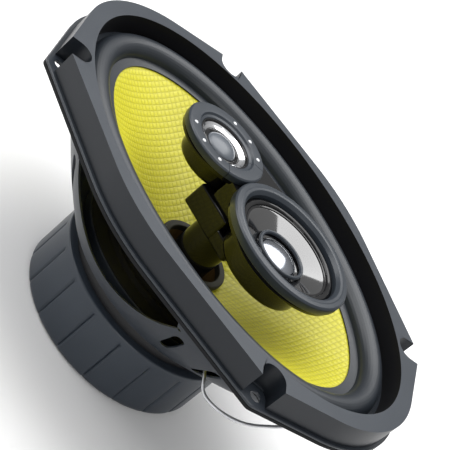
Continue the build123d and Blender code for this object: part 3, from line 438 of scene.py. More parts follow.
FILM = grained("former film", (0.10, 0.06, 0.02), (0.15, 0.09, 0.03), 0.3, 1500.0, 0.006 * MM)
GLOSS = gloss_black("gloss black", 0.3, 0.12 * MM)
POLISHED = gloss_black("polished black cone", 0.85, 0.02 * MM)
YELLOW = weave_yellow()
ZINC = bright_metal("zinc plating", (0.62, 0.63, 0.66), 0.28)
CHROME = bright_metal("bright chrome", (0.90, 0.91, 0.93), 0.05)
MIRROR = bright_metal("metallised film", (0.36, 0.38, 0.42), 0.10)
COPPER = bright_metal("enamelled copper", (0.72, 0.30, 0.14), 0.25)
TINNED = bright_metal("tinned brass", (0.74, 0.72, 0.66), 0.3)
TINSEL = bright_metal("silver braid", (0.72, 0.73, 0.75), 0.3, 0.15, 3500.0, 0.15 * MM)


# ---------------------------------------------------------------- outline shared by trim, flange and gasket
def arc_between(centre, r, start, end, steps):
    """Points of an arc about a centre, from one angle to another, in degrees."""
    turn = np.radians(np.linspace(start, end, steps))
    return np.stack([centre[0] + r * np.cos(turn), centre[1] + r * np.sin(turn)], -1)


def quarter_outline(margin, corner_r, notch):
    """Outline of one quarter, from the long axis to the short axis, in millimetres.

    The end arc and the side arc are tangent to the straight runs through the corner, so each
    centre lies on its own axis at apex - r / cos(run angle). A notch replaces the corner with two
    parallel sides and a round end.
    """
    corner = np.array(CORNER)
    end_run = corner - (END_APEX_X, 0.0)
    side_run = np.array((0.0, SIDE_APEX_Y)) - corner
    end_normal = np.degrees(np.arctan2(end_run[1], end_run[0])) - 90.0
    side_normal = np.degrees(np.arctan2(side_run[1], side_run[0])) - 90.0
    end_centre = (END_APEX_X - END_R / np.cos(np.radians(end_normal)), 0.0)
    side_centre = (0.0, SIDE_APEX_Y - SIDE_R / np.sin(np.radians(side_normal)))
    end_arc = arc_between(end_centre, END_R + margin, 0.0, end_normal, 22)
    side_arc = arc_between(side_centre, SIDE_R + margin, side_normal, 90.0, 22)
    if notch:
        along = np.radians(NOTCH_TURN)
        out = np.array((np.cos(along), np.sin(along)))
        across = np.array((out[1], -out[0]))
        centre = np.array(NOTCH_CENTRE)
        mouths = []
        for side, foot in ((1, end_arc[-1]), (-1, side_arc[0])):
            base = centre + side * NOTCH_R * across
            run = corner + margin * out - foot
            # Where the straight run meets the notch's side: base + s*out = foot + q*run.
            s, _ = np.linalg.solve(np.stack([out, -run], -1), foot - base)
            mouths.append(base + np.linspace(s, 0.0, 7)[:, None] * out)
        round_end = arc_between(NOTCH_CENTRE, NOTCH_R, NOTCH_TURN - 90.0, NOTCH_TURN - 270.0, 20)
        middle = [mouths[0], round_end[1:-1], mouths[1][::-1]]
    else:
        grown = corner + margin * np.array((np.cos(np.radians((end_normal + side_normal) / 2)),
                                            np.sin(np.radians((end_normal + side_normal) / 2)))) / np.cos(
            np.radians((side_normal - end_normal) / 2))
        half_turn = np.radians((side_normal - end_normal) / 2)
        inward = -np.array((np.cos(np.radians((end_normal + side_normal) / 2)),
                            np.sin(np.radians((end_normal + side_normal) / 2))))
        arc_centre = grown + inward * corner_r / np.cos(half_turn)
        middle = [arc_between(arc_centre, corner_r, end_normal, side_normal, 12)]
    middle = np.concatenate(middle)
    end_run = straight(end_arc[-1], middle[0], 14)
    side_run = straight(middle[-1], side_arc[0], 20)
    return np.concatenate([end_arc, end_run, middle, side_run, side_arc])


def straight(start, end, count):
    """Even points of a straight run, without its two ends."""
    share = np.linspace(0, 1, count + 2)[1:-1, None]
    return start + share * (end - start)


def mirrored(quarter):
    """Repeat a quarter outline over both axes, in order round the piece, without doubled points."""
    second = (quarter * (-1, 1))[::-1][1:]
    half = np.concatenate([quarter, second])
    other = (half * (1, -1))[::-1][1:-1]
    return np.concatenate([half, other])


def oval_feet(points, oval):
    """Foot of each outline point on an ellipse, moving only forwards round it.

    The foot's angle t solves (a^2 - b^2) cos t sin t - x a sin t + y b cos t = 0, by Newton
    steps from the point's own direction; a running maximum keeps t from turning back.
    """
    a, b = oval
    x, y = points[:, 0], points[:, 1]
    t = np.unwrap(np.arctan2(y / b, x / a))
    for _ in range(12):
        c, s = np.cos(t), np.sin(t)
        value = (a * a - b * b) * c * s - x * a * s + y * b * c
        slope = (a * a - b * b) * (c * c - s * s) - x * a * c - y * b * s
        t = t - value / slope
    t = np.maximum.accumulate(np.unwrap(t))
    return np.stack([a * np.cos(t), b * np.sin(t)], -1)


def rail_stack(rails_and_heights):
    """Stack flat rails, each with its height in millimetres, into rows of points in metres."""
    rows = [np.concatenate([rail, np.full((len(rail), 1), z)], 1) for rail, z in rails_and_heights]
    return np.stack(rows) * MM


def bevelled(piece, width, segments=2, angle=35.0):
    """Round a piece's edges with a Bevel of a fixed width."""
    modifier = piece.modifiers.new("rounded edges", "BEVEL")
    modifier.width, modifier.segments = width, segments
    modifier.limit_method, modifier.angle_limit = "ANGLE", np.radians(angle)
    modifier.harden_normals = False
    return piece


def trim():
    """Trim ring: notched outline outside, an oval opening inside, a flat front face between."""
    outer = mirrored(quarter_outline(0.0, 2.0, True))
    oval = (TRIM_OVAL[0] / MM, TRIM_OVAL[1] / MM)
    inner = oval_feet(outer, oval)
    small = inner * ((oval[0] - 0.9) / oval[0], (oval[1] - 0.9) / oval[1])
    base, top = FLANGE_TOP / MM, TRIM_TOP / MM
    share = np.linspace(0, 1, 4)[:, None, None]
    lower = outer[None] * (1 - share) + small[None] * share
    upper = inner[None] * (1 - share) + outer[None] * share
    front = [(rail, top) for rail in upper]
    back = [(rail, base) for rail in lower]
    rails = rail_stack([*back, *front])
    piece = ring_piece("trim_ring_face", rails, TRIM, "frame", ("trim_ring",), 40.0)
    piece.data.materials.append(TRIM_INNER_PAINTED_SHADE)
    piece.data.materials.append(TRIM_SIDE_PAINTED_SHADE)
    centres = np.empty(len(piece.data.polygons) * 3)
    normals = np.empty_like(centres)
    piece.data.polygons.foreach_get("center", centres)
    piece.data.polygons.foreach_get("normal", normals)
    centres, normals = centres.reshape(-1, 3), normals.reshape(-1, 3)
    inward = (np.abs(normals[:, 2]) < 0.5) & ((centres[:, :2] * normals[:, :2]).sum(1) < 0)
    oval_place = (centres[:, 0] / TRIM_OVAL[0]) ** 2 + (centres[:, 1] / TRIM_OVAL[1]) ** 2
    upright = np.abs(normals[:, 2]) < 0.5
    # The inner wall and the outer side walls take the darker materials: painted shade on the trim's upright
    # faces.
    index = np.where(inward & (oval_place < 1.03), 1, np.where(upright, 2, 0))
    piece.data.polygons.foreach_set("material_index", index.astype(np.int32))
    return bevelled(piece, 0.7 * MM, 3)


# ---------------------------------------------------------------- basket wall with windows
WINDOWS = (
    # turn, half width, top, lowest, tip height
    (90.0, 43.0, -4.6, -30.0, -9.0),
    (-90.0, 43.0, -4.6, -30.0, -9.0),
    (180.0, 26.0, -5.5, -27.0, -11.0),
)


def wall_radii(z):
    """Half axes of the wall at a height, by a parabola through its three ovals."""
    heights, a, b = (np.array([oval[i] for oval in WALL_OVALS]) for i in range(3))
    return np.polyval(np.polyfit(heights, a, 2), z), np.polyval(np.polyfit(heights, b, 2), z)


def wall_point(turn, z, inset=0.0):
    """Point of the wall in a direction from the axis, at a height.

    The distance out is 1 / sqrt((cos/a)^2 + (sin/b)^2), less the inset.
    """
    a, b = wall_radii(z)
    distance = 1 / np.sqrt((np.cos(turn) / a) ** 2 + (np.sin(turn) / b) ** 2) - inset
    return np.stack(np.broadcast_arrays(distance * np.cos(turn), distance * np.sin(turn), z), -1)


def window_edges(turns):
    """Upper and lower edge heights of the wall's windows, for each direction.

    Across a window, u is the distance along its chord. The upper edge is flat with leaning
    cheeks; the lower edge is an arc through both tips and the lowest point.
    """
    from_midrange = np.abs((np.degrees(turns) + 180.0) % 360.0 - 180.0)
    upper = np.interp(from_midrange, (0.0, 133.0, 154.0), (-9.0, -9.0, -11.0))
    lower = upper.copy()
    for turn, half, top, bottom, tip in WINDOWS:
        away = (turns - np.radians(turn) + np.pi) % (2 * np.pi) - np.pi
        for step in range(3):
            guess = np.full_like(turns, -14.0) if step == 0 else lower
            point = wall_point(turns, guess)
            u = np.hypot(point[:, 0], point[:, 1]) * np.sin(away)
            arc_r = (half ** 2 + (tip - bottom) ** 2) / (2 * (tip - bottom))
            inside = (np.abs(u) < half) & (np.abs(away) < np.pi / 2)
            arc = bottom + arc_r - np.sqrt(np.maximum(arc_r ** 2 - np.minimum(np.abs(u), half) ** 2, 0))
            lower = np.where(inside, arc, lower)
        point = wall_point(turns, np.full_like(turns, top))
        u = np.hypot(point[:, 0], point[:, 1]) * np.sin(away)
        inside = (np.abs(u) < half) & (np.abs(away) < np.pi / 2)
        cheek = top + (tip - top) * np.clip((np.abs(u) - half + 2.5) / 2.5, 0, 1)
        upper = np.where(inside, cheek, upper)
    return upper, np.minimum(lower, upper)


SLOTS = (38.0, 53.0, -38.0, -53.0, 142.0, 127.0, -142.0, -127.0, 30.0)
SLOT_HALF, SLOT_STRAIGHT, SLOT_Z = 2.5, 5.0, -20.0


def basket_columns():
    """Directions round the wall: even steps, with close ones across every slot and window tip."""
    even = np.arange(-180.0, 180.0, 1.5)
    across = np.sin(np.linspace(-np.pi / 2, np.pi / 2, 11)) * 2.2
    slots = (np.array(SLOTS)[:, None] + across).ravel()
    cheek_turns = [side * turn for side in (1, -1) for turn in (58.5, 121.5, 160.0)]
    cheeks = np.concatenate([turn + np.linspace(-2.5, 2.5, 9) for turn in cheek_turns])
    turns = np.unique(np.round(np.concatenate([even, slots, cheeks]), 2))
    return np.radians(turns[(turns >= -180.0) & (turns < 180.0)])


def opening_edges(turns):
    """Window edges joined with those of the slots: an upright slot has round ends.

    In a slot the half height is straight + sqrt(r^2 - u^2), with u the distance across it.
    """
    upper, lower = window_edges(turns)
    for slot in SLOTS:
        away = (turns - np.radians(slot) + np.pi) % (2 * np.pi) - np.pi
        point = wall_point(turns, np.full_like(turns, SLOT_Z))
        u = np.hypot(point[:, 0], point[:, 1]) * np.sin(away)
        half = SLOT_STRAIGHT + np.sqrt(np.maximum(SLOT_HALF ** 2 - u ** 2, 0))
        inside = (np.abs(u) < SLOT_HALF) & (np.abs(away) < 0.3)
        upper = np.where(inside, SLOT_Z + half, upper)
        lower = np.where(inside, SLOT_Z - half, lower)
    closed = upper - lower < 0.05
    middle = np.where(closed, np.nan, (upper + lower) / 2)
    known = ~np.isnan(middle)
    wrapped = np.concatenate([turns[known] - 2 * np.pi, turns[known], turns[known] + 2 * np.pi])
    heights = np.tile(middle[known], 3)
    joined = np.interp(turns, wrapped, heights)
    return np.where(closed, joined, upper), np.where(closed, joined, lower), ~closed


def basket_wall():
    """Basket: wall with windows and slots, round floor with a bore, as one closed sheet.

    Two skins share the same openings; strips above and below them meet wherever the wall is
    closed, and short walls join the skins round every opening.
    """
    turns = basket_columns()
    upper, lower, is_open = opening_edges(turns)
    count, thick = len(turns), 1.2
    floor_z, bore = WALL_OVALS[2][0], 22.0

    def strip(start, end, rows, inset):
        share = np.linspace(0, 1, rows)[:, None]
        z = start * (1 - share) + end * share
        return np.stack([wall_point(turns, level, inset) for level in z])

    def floor_rows(inset, z):
        edge = WALL_OVALS[2][1] - inset
        r = np.linspace(edge, bore, 6)[1:, None]
        return np.stack([r * np.cos(turns), r * np.sin(turns), np.full((5, count), z)], -1)

    top = np.full(count, 1.8)
    outer_up, inner_up = strip(top, upper, 7, 0.0), strip(top, upper, 7, thick)
    outer_low = np.concatenate([strip(lower, np.full(count, floor_z), 12, 0.0), floor_rows(0.0, floor_z)])
    inner_low = np.concatenate([strip(lower, np.full(count, floor_z + thick), 12, thick),
                                floor_rows(thick, floor_z + thick)])
    blocks, faces, offset = [outer_up, inner_up, outer_low, inner_low], [], 0
    starts = []
    for block in blocks:
        faces.append(grid_faces(*block.shape[:2], False, True) + offset)
        starts.append(offset)
        offset += block.shape[0] * count
    here = np.arange(count)
    there = (here + 1) % count
    gaps = is_open | np.roll(is_open, -1)

    def join(first, second, columns):
        return np.stack([first + here, first + there, second + there, second + here], -1)[columns]

    last = [start + (block.shape[0] - 1) * count for start, block in zip(starts, blocks)]
    always = np.full(count, True)
    faces += [join(starts[0], starts[1], always), join(last[0], last[1], gaps),
              join(starts[2], starts[3], gaps), join(last[2], last[3], always)]
    points = np.concatenate([block.reshape(-1, 3) for block in blocks]) * MM
    piece = make_piece("basket_wall", points, np.concatenate(faces), BASKET_PAINT, "frame",
                       ("basket",), 40.0)
    return bevelled(piece, 0.3 * MM, 2, 50.0)


def flange_like(name, z_low, z_high, oval, hole_r, material, replaces=()):
    """Flat oval ring with four screw holes, from the outline to an oval.

    Both edges are read by direction from the axis. A middle line runs through the hole centres,
    and inside a hole it parts into the two crossings r = d cos w +- sqrt(R^2 - d^2 sin^2 w).
    """
    outline = mirrored(quarter_outline(FLANGE_MARGIN, FLANGE_CORNER_R, False))
    direction = np.degrees(np.arctan2(outline[:, 1], outline[:, 0]))
    order = np.argsort(direction)
    reach = np.hypot(*outline[order].T)
    far = np.hypot(*HOLE_CENTRE)
    hole_turn = np.degrees(np.arctan2(HOLE_CENTRE[1], HOLE_CENTRE[0]))
    spread = np.degrees(np.arcsin(hole_r / far))
    hole_turns = np.array([hole_turn, 180 - hole_turn, -hole_turn, hole_turn - 180])
    close = spread * np.sin(np.linspace(-np.pi / 2, np.pi / 2, 15))
    turns = np.unique(np.round(np.concatenate([np.arange(-180.0, 180.0, 1.0), direction,
                                               (hole_turns[:, None] + close).ravel()]), 3))
    turns = turns[(turns >= -180.0) & (turns < 180.0)]
    outside = np.interp(turns, direction[order], reach, period=360.0)
    rad = np.radians(turns)
    inside = 1 / np.sqrt((np.cos(rad) / oval[0]) ** 2 + (np.sin(rad) / oval[1]) ** 2)
    at_hole = np.interp(hole_turn, turns, outside), np.interp(hole_turn, turns, inside)
    share = (far - at_hole[1]) / (at_hole[0] - at_hole[1])
    middle = inside + share * (outside - inside)
    away = np.radians((turns[:, None] - hole_turns + 180) % 360 - 180)
    nearest = away[np.arange(len(turns)), np.abs(away).argmin(1)]
    half = np.sqrt(np.maximum(hole_r ** 2 - (far * np.sin(nearest)) ** 2, 0))
    is_open = half > 0.02
    middle = np.where(np.abs(np.degrees(nearest)) < spread + 0.01, far * np.cos(nearest), middle)
    cut_out, cut_in = middle + half, middle - half

    def rows(levels):
        r = np.stack(levels)
        return np.stack([r * np.cos(rad), r * np.sin(rad)], -1)

    strips = [rows([outside, cut_out]), rows([cut_in, inside])]
    count, blocks, faces, offset, starts = len(turns), [], [], 0, []
    for strip in strips:
        for z in (z_low, z_high):
            blocks.append(np.concatenate([strip, np.full((2, count, 1), z)], -1))
            faces.append(grid_faces(2, count, False, True) + offset)
            starts.append(offset)
            offset += 2 * count
    here = np.arange(count)
    there = (here + 1) % count
    gaps = is_open | np.roll(is_open, -1)
    always = np.full(count, True)

    def join(first, second, columns):
        return np.stack([first + here, first + there, second + there, second + here], -1)[columns]

    faces += [join(starts[0], starts[1], always), join(starts[0] + count, starts[1] + count, gaps),
              join(starts[2], starts[3], gaps), join(starts[2] + count, starts[3] + count, always)]
    points = np.concatenate([block.reshape(-1, 3) for block in blocks]) * MM
    piece = make_piece(name, points, np.concatenate(faces), material, "frame", replaces, 40.0)
    return bevelled(piece, 0.4 * MM, 3)


# ---------------------------------------------------------------- turned and oval pieces
def turned_piece(name, section, radii, x, material, body, replaces=(), columns=96, sharp=32.0, steps=4):
    """Turn a closed section of (radius, z) millimetres with rounded corners."""
    rounded = round_corners(section, radii, steps) * MM
    return ring_piece(name, turned(rounded, x, columns), material, body, replaces, sharp)


def half_roll(inner, roll_in, roll_out, outer, inner_z, outer_z, rise, sheet):
    """Closed section of a half roll between two flats; all in millimetres.

    The roll is z = base + rise * sin(pi u) with u running across it, and the lower skin is the
    same curve moved down by the sheet's thickness.
    """
    u = np.linspace(0, 1, 17)
    r = roll_in + (roll_out - roll_in) * (1 - np.cos(np.pi * u)) / 2
    z = inner_z + (outer_z - inner_z) * u + rise * np.sin(np.pi * u)
    line_r = np.concatenate([[inner], r, [outer]])
    line_z = np.concatenate([[inner_z], z, [outer_z]])
    upper = np.stack([line_r, line_z + sheet], -1)
    lower = np.stack([line_r, line_z], -1)
    return np.concatenate([upper, lower[::-1]])


def vertex_places(piece):
    """Give a piece's points as an array."""
    places = np.empty(len(piece.data.vertices) * 3)
    piece.data.vertices.foreach_get("co", places)
    return places.reshape(-1, 3)


def soft_piece(name, rails, material, replaces, closed_columns, weigh):
    """Build a piece from a closed section grid; the weights that weigh gives its points are computed but not
    used.
    """
    rows, columns = rails.shape[:2]
    faces = grid_faces(rows, columns, True, closed_columns)
    mesh = bpy.data.meshes.new(name)
    mesh.from_pydata(rails.reshape(-1, 3).tolist(), [], faces.tolist())
    tidy(mesh)
    mesh.shade_smooth()
    mesh.set_sharp_from_angle(angle=np.radians(40.0))
    piece = bpy.data.objects.new(name, mesh)
    bpy.context.scene.collection.objects.link(piece)
    mesh.materials.append(material)
    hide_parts(*replaces)
    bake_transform(piece)
    weights = np.clip(weigh(vertex_places(piece)), 0, 1)
    return piece


def smooth_step(value):
    """Ease a value from 0 to 1: v^2 (3 - 2v)."""
    v = np.clip(value, 0, 1)
    return v * v * (3 - 2 * v)


# ---------------------------------------------------------------- woofer
def cone():
    """Woofer cone: a ruled sheet from the neck circle to the oval edge, with a flat rim.

    A point is (1-s) * circle + s * oval for s from 0 to 1; the lower skin is the same surface
    moved down by the sheet's thickness.
    """
    turn = np.linspace(0, 2 * np.pi, 288, endpoint=False)
    s = np.linspace(0, 1, 20)[:, None]
    a = NECK_R + s * (CONE_OVAL[0] - NECK_R)
    b = NECK_R + s * (CONE_OVAL[1] - NECK_R)
    z = NECK_Z + s * (CONE_EDGE_Z - NECK_Z)
    skin = np.stack([a * np.cos(turn), b * np.sin(turn), z + 0 * turn], -1)
    wider = [(half + 4.6 * MM) / half for half in CONE_OVAL]
    rim = skin[-1:] * (*wider, 1.0)
    upper = np.concatenate([skin, rim])
    lower = (upper - (0, 0, 0.9 * MM))[::-1]
    return ring_piece("cone_weave", np.concatenate([upper, lower]), YELLOW, "woofer",
                      ("woofer_cone",), 60.0)


def woofer_surround():
    """Half-roll surround carried round the crown oval."""
    section = half_roll(-10.9, -6.2, 6.2, 12.9, 2.65, 3.05, 6.35, 0.8)
    rails = along_oval(round_corners(section, 0.35, 2) * MM, CROWN_OVAL, 256)

    def weigh(places):
        a, b = CROWN_OVAL
        ratio = np.hypot(places[:, 0] / a, places[:, 1] / b)
        out = (ratio - 1) * np.hypot(places[:, 0], places[:, 1]) / ratio
        return 1 - smooth_step((out + 6.2 * MM) / (12.4 * MM))

    return soft_piece("surround_roll", rails, SURROUND_RUBBER,
                      ("surround",), True, weigh)


def woofer_spider():
    """Corrugated spider turned about the axis, flat near its bore and its rim."""
    r = np.linspace(16.4, 52.6, 73)
    wave = np.where((r > 18.5) & (r < 45.0), 1.1 * np.sin((r - 18.5) / 26.5 * 2 * np.pi * 5), 0.0)
    upper = np.stack([r, wave - 30.5], -1)
    section = np.concatenate([upper, (upper - (0, 0.5))[::-1]]) * MM

    def weigh(places):
        return 1 - smooth_step((np.hypot(places[:, 0], places[:, 1]) - 18.5 * MM) / (26.5 * MM))

    return soft_piece("spider_disc", turned(section, 0.0, 128), SPIDER_CLOTH,
                      ("spider",), True, weigh)


def collar():
    """Soft collar round the neck, with a rounded shoulder."""
    section = [(15.4, -25.1), (16.3, -25.1), (16.3, -24.4), (18.9, -24.4), (18.9, -21.9), (15.4, -21.9)]
    return turned_piece("neck_collar_ring", section, (0.1, 0.1, 0.1, 0.5, 1.1, 0.6), 0.0, COLLAR, "woofer",
                        ("neck_collar",), 128)


# ---------------------------------------------------------------- magnet end
def boot():
    """Rubber boot: a cup with soft panels parted by grooves.

    With p the place across a panel from -1 to 1, the wall drops by 0.35 p^4 towards the grooves
    and by a narrow dip 0.8 exp(-(gap/0.45)^2) in them; both fade out at the ends of the wall.
    """
    back, front, r = BOOT_BACK / MM, BOOT_FRONT / MM, BOOT_R / MM
    turn = np.linspace(0, 2 * np.pi, 18 * 24, endpoint=False)
    panel = np.pi * 2 / 18
    place = ((turn - np.radians(20.0)) / panel) % 1.0 * 2 - 1
    gap = (1 - np.abs(place)) * panel / 2 * r
    drop = 0.22 * place ** 4 + 0.9 * np.exp(-(gap / 0.4) ** 2)
    shoulder, side = np.linspace(front - 0.5, front - 3.2, 4), np.linspace(front - 4.2, back + 3.4, 12)
    z = np.concatenate([[front], shoulder, side])
    reach = np.concatenate([[r - 0.55], [r] * 4, [r] * 12])
    fade = np.interp(z, (back + 3.0, back + 3.8, front - 4.2, front - 3.4), (0.8, 1, 1, 0))[:, None]
    fillet = np.radians(np.linspace(0, 90, 8))
    z_all = np.concatenate([z, back + 3.0 - 3.0 * np.sin(fillet)])
    r_all = np.concatenate([reach, r - 3.0 + 3.0 * np.cos(fillet)])
    fade_all = np.concatenate([fade[:, 0], 0.8 * np.cos(fillet)])
    wall_r = r_all[:, None] - drop * fade_all[:, None]
    inner = np.array([(r - 12, back), (0.001, back), (0.001, back + 2.4), (MAGNET_R / MM + 0.1, back + 2.4),
                      (MAGNET_R / MM + 0.1, front)])
    all_r = np.concatenate([wall_r, np.repeat(inner[:, :1], len(turn), 1)])
    all_z = np.concatenate([z_all, inner[:, 1]])[:, None]
    rails = np.stack([all_r * np.cos(turn), all_r * np.sin(turn), all_z + 0 * turn], -1) * MM
    return ring_piece("boot_cup", rails, BOOT_RUBBER, "frame", ("magnet_boot",), 50.0)


def top_disc():
    """Top plate that shows between the basket and the boot."""
    section = [(17.9, -43.2), (45.0, -43.2), (45.0, -37.2), (17.9, -37.2)]
    return turned_piece("top_plate_disc", section, (0.2, 0.4, 0.8, 0.2), 0.0, PLATE_BLACK, "frame",
                        ("top_plate",), 128)


def magnet_ring():
    """Ring magnet, seen between the plate and the boot."""
    section = [(24.0, -67.2), (46.0, -67.2), (46.0, -43.2), (24.0, -43.2)]
    return turned_piece("magnet_disc", section, 0.9, 0.0, FERRITE, "frame", ("ring_magnet",), 128)


def spider_landing():
    """Raised ring in the basket that the spider's rim is glued to."""
    section = [(46.0, -36.1), (53.0, -36.1), (53.0, -31.0), (46.0, -31.0)]
    return turned_piece("spider_landing", section, 0.6, 0.0, BASKET_PAINT, "frame", (), 96)


def rivet_heads():
    """Six domed rivet heads round the basket's floor, as one piece."""
    heads = []
    u = np.array([(0.0, 0.95), (1.2, 0.9), (2.4, 0.65), (3.3, 0.2), (3.4, -0.05), (0.0, -0.05)])
    for index in range(6):
        turn = np.radians(30 + 60 * index)
        head = turned(u * MM, 0.0, 24) + (33 * MM * np.cos(turn), 33 * MM * np.sin(turn), -36.0 * MM)
        heads.append(head)
    return many_turned("plate_rivet_heads", heads, PLATE_BLACK, "frame", ("plate_rivets",))


def many_turned(name, grids, material, body, replaces):
    """Join several closed turned grids of one shape into one piece."""
    rows, columns = grids[0].shape[:2]
    base = grid_faces(rows, columns, True, True)
    faces = np.concatenate([base + index * rows * columns for index in range(len(grids))])
    points = np.concatenate([grid.reshape(-1, 3) for grid in grids])
    return make_piece(name, points, faces, material, body, replaces, 40.0)


# ---------------------------------------------------------------- carrier
def block_piece(name, outline, z_low, z_high, material, replaces=(), width=0.5, body="frame"):
    """Make a prism with one flat face at each end and rounded edges."""
    rails = rail_stack([(outline, z_low), (outline, z_high)])
    columns = rails.shape[1]
    faces = grid_faces(2, columns, False, True).tolist()
    faces += [list(range(columns)), list(range(2 * columns - 1, columns - 1, -1))]
    piece = make_piece(name, rails, faces, material, body, replaces, 35.0)
    return bevelled(piece, width * MM, 3) if width else piece


def rounded_box(x0, x1, half_y, r):
    """Outline of a rounded rectangle on the long axis."""
    corners = [(x0, -half_y), (x1, -half_y), (x1, half_y), (x0, half_y)]
    return round_corners(corners, r, 6)


def carrier():
    """Post with a foot, and the block that holds both small units."""
    post = [(0.0, -36.6), (13.0, -36.6), (13.0, -33.6), (10.7, -33.6), (10.7, -6.4), (0.0, -6.4)]
    turned_piece("carrier_column", post, (0, 0.5, 0.8, 1.2, 0.2, 0), 0.0, GLOSS, "frame",
                 ("carrier_post",), 96)
    block_piece("carrier_block", rounded_box(-19.0, 3.1, 11.0, 1.8), -6.5, 6.0, GLOSS,
                width=0.8)
    block_piece("carrier_foot", rounded_box(2.0, 15.0, 11.0, 1.8), -6.5, 0.45, GLOSS,
                width=0.8)
    block_piece("carrier_neck", rounded_box(-13.0, 3.1, 9.0, 1.8), 5.9, 16.2, GLOSS, width=0.3)


CUP_WALL = 1.4


def unit_cup(name, x, r, bottom, top, node):
    """Round cup under a small unit, with a soft lower edge."""
    inner, base = r - CUP_WALL, bottom + CUP_WALL
    section = [(0.0, bottom), (r, bottom), (r, top), (inner, top), (inner, base), (0.0, base)]
    return turned_piece(name, section, (0, 3.0, 0.3, 0.3, 1.6, 0), x * MM, GLOSS, "frame",
                        (node,), 128)


def web():
    """Web under both bezels: two rings joined by a bridge.

    The bridge follows the rings' outer tangent on the far side, which touches both circles at the
    angle acos((r0 - r1) / distance) from the axis; its near side is a narrower straight edge.
    """
    x0, r0, x1, r1 = TWEETER_X / MM, TWEETER_R / MM - 0.6, MID_X / MM, MID_R / MM - 0.9
    lean = np.degrees(np.arccos((r0 - r1) / (x1 - x0)))
    rings = (("tweeter_web_ring", TWEETER_X, 14.2, r0), ("midrange_web_ring", MID_X, 26.5, r1))
    for name, x, hole_r, r in rings:
        section = [(hole_r, 16.0), (r, 16.0), (r, 18.2), (hole_r, 18.2)]
        turned_piece(name, section, 0.35, x, GLOSS, "frame",
                     ("web_plate",) if x < 0 else (), 128)
    tweeter_side = arc_between((x0, 0.0), (14.2 + r0) / 2, -30.0, lean, 24)
    midrange_side = arc_between((x1, 0.0), (26.5 + r1) / 2, lean, 202.0, 24)
    touches = [arc_between((x, 0.0), r - 0.05, lean, lean, 1)[0] for x, r in ((x0, r0), (x1, r1))]
    far_side = np.stack(touches)
    outline = np.concatenate([tweeter_side, far_side, midrange_side])
    block_piece("web_bridge", outline, 16.05, 18.15, GLOSS, width=0)


# ---------------------------------------------------------------- midrange unit
def midrange():
    """Bezel, surround, cone, ring and mirror cap of the midrange."""
    bezel = [(27.6, 18.6), (29.2, 18.6), (29.2, 18.25), (33.7, 18.25), (33.7, 21.7), (32.9, 22.5),
             (31.0, 22.6), (30.3, 22.8), (29.0, 22.7), (27.6, 21.0)]
    turned_piece("midrange_bezel_ring", bezel, (0.1, 0.1, 0.1, 0.2, 0.5, 0.4, 0.2, 0.3, 0.6, 0.2), MID_X,
                 BEZEL,
                 "frame", ("midrange_bezel",), 160)
    roll = half_roll(23.0, 24.0, 27.2, 29.0, 18.0, 18.15, 1.1, 0.35)

    def weigh(places):
        r = np.hypot(places[:, 0] - MID_X, places[:, 1])
        return 1 - smooth_step((r - 24.0 * MM) / (3.2 * MM))

    soft_piece("midrange_roll", turned(round_corners(roll, 0.1, 2) * MM, MID_X, 160), GLOSS,
               ("midrange_surround",), True, weigh)
    s = np.linspace(0, 1, 14)
    r = 8.9 + (23.0 - 8.9) * s
    z = 11.6 + 6.35 * s ** 0.85
    skin = np.stack([np.append(r, 24.1), np.append(z, 17.98)], -1)
    section = np.concatenate([skin, (skin - (0, 0.4))[::-1]])
    turned_piece("midrange_cone_skin", section, 0.0, MID_X, POLISHED, "midrange",
                 ("midrange_cone",), 160)
    u = np.linspace(0, 1, 16)
    cap_r, cap_z = 10.4 * np.sin(u * np.pi / 2), 12.9 + 3.2 * np.cos(u * np.pi / 2) ** 1.4
    cap = np.concatenate([np.stack([cap_r, cap_z], -1), np.stack([cap_r, cap_z - 0.4], -1)[::-1]])
    turned_piece("midrange_cap", cap, 0.0, MID_X, MIRROR, "midrange",
                 ("midrange_dust_cap",), 128)
    turn = np.linspace(0, 2 * np.pi, 16, endpoint=False)
    ring = np.stack([12.2 + 0.9 * np.cos(turn), 14.95 + 0.9 * np.sin(turn)], -1)
    turned_piece("midrange_ring", ring, 0.0, MID_X, BEZEL, "midrange",
                 ("midrange_trim_ring",), 128)


# ---------------------------------------------------------------- tweeter unit
TWEETER_SECTION = [(14.1, 18.2), (22.4, 18.2), (22.4, 21.2), (21.6, 21.9), (16.2, 21.9), (15.5, 20.9),
                   (14.1, 20.5)]
TWEETER_ROUND = (0.1, 0.2, 0.5, 0.4, 0.3, 0.3, 0.3)
STUD_CIRCLE_R, REFLECTOR_PAINTED_DARK_R = 18.8 * MM, 12.5 * MM


def part_turned(name, section, radii, x, start, end, columns, material, replaces):
    """Turn a closed section through part of a circle, with flat ends."""
    rounded = round_corners(section, radii, 4) * MM
    turn = np.radians(np.linspace(start, end, columns))
    r, z = rounded[:, :1], rounded[:, 1:]
    grid = np.stack([x + r * np.cos(turn), r * np.sin(turn), z + 0 * turn], -1)
    rows = len(rounded)
    faces = grid_faces(rows, columns, True, False).tolist()
    first = [row * columns for row in range(rows)]
    faces += [first, [corner + columns - 1 for corner in first][::-1]]
    mesh_points = grid.reshape(-1, 3)
    mesh = bpy.data.meshes.new(name)
    mesh.from_pydata(mesh_points.tolist(), [], faces)
    tidy(mesh)
    mesh.shade_smooth()
    mesh.set_sharp_from_angle(angle=np.radians(32.0))
    piece = bpy.data.objects.new(name, mesh)
    bpy.context.scene.collection.objects.link(piece)
    mesh.materials.append(material)
    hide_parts(*replaces)
    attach(piece, "frame")
    return piece


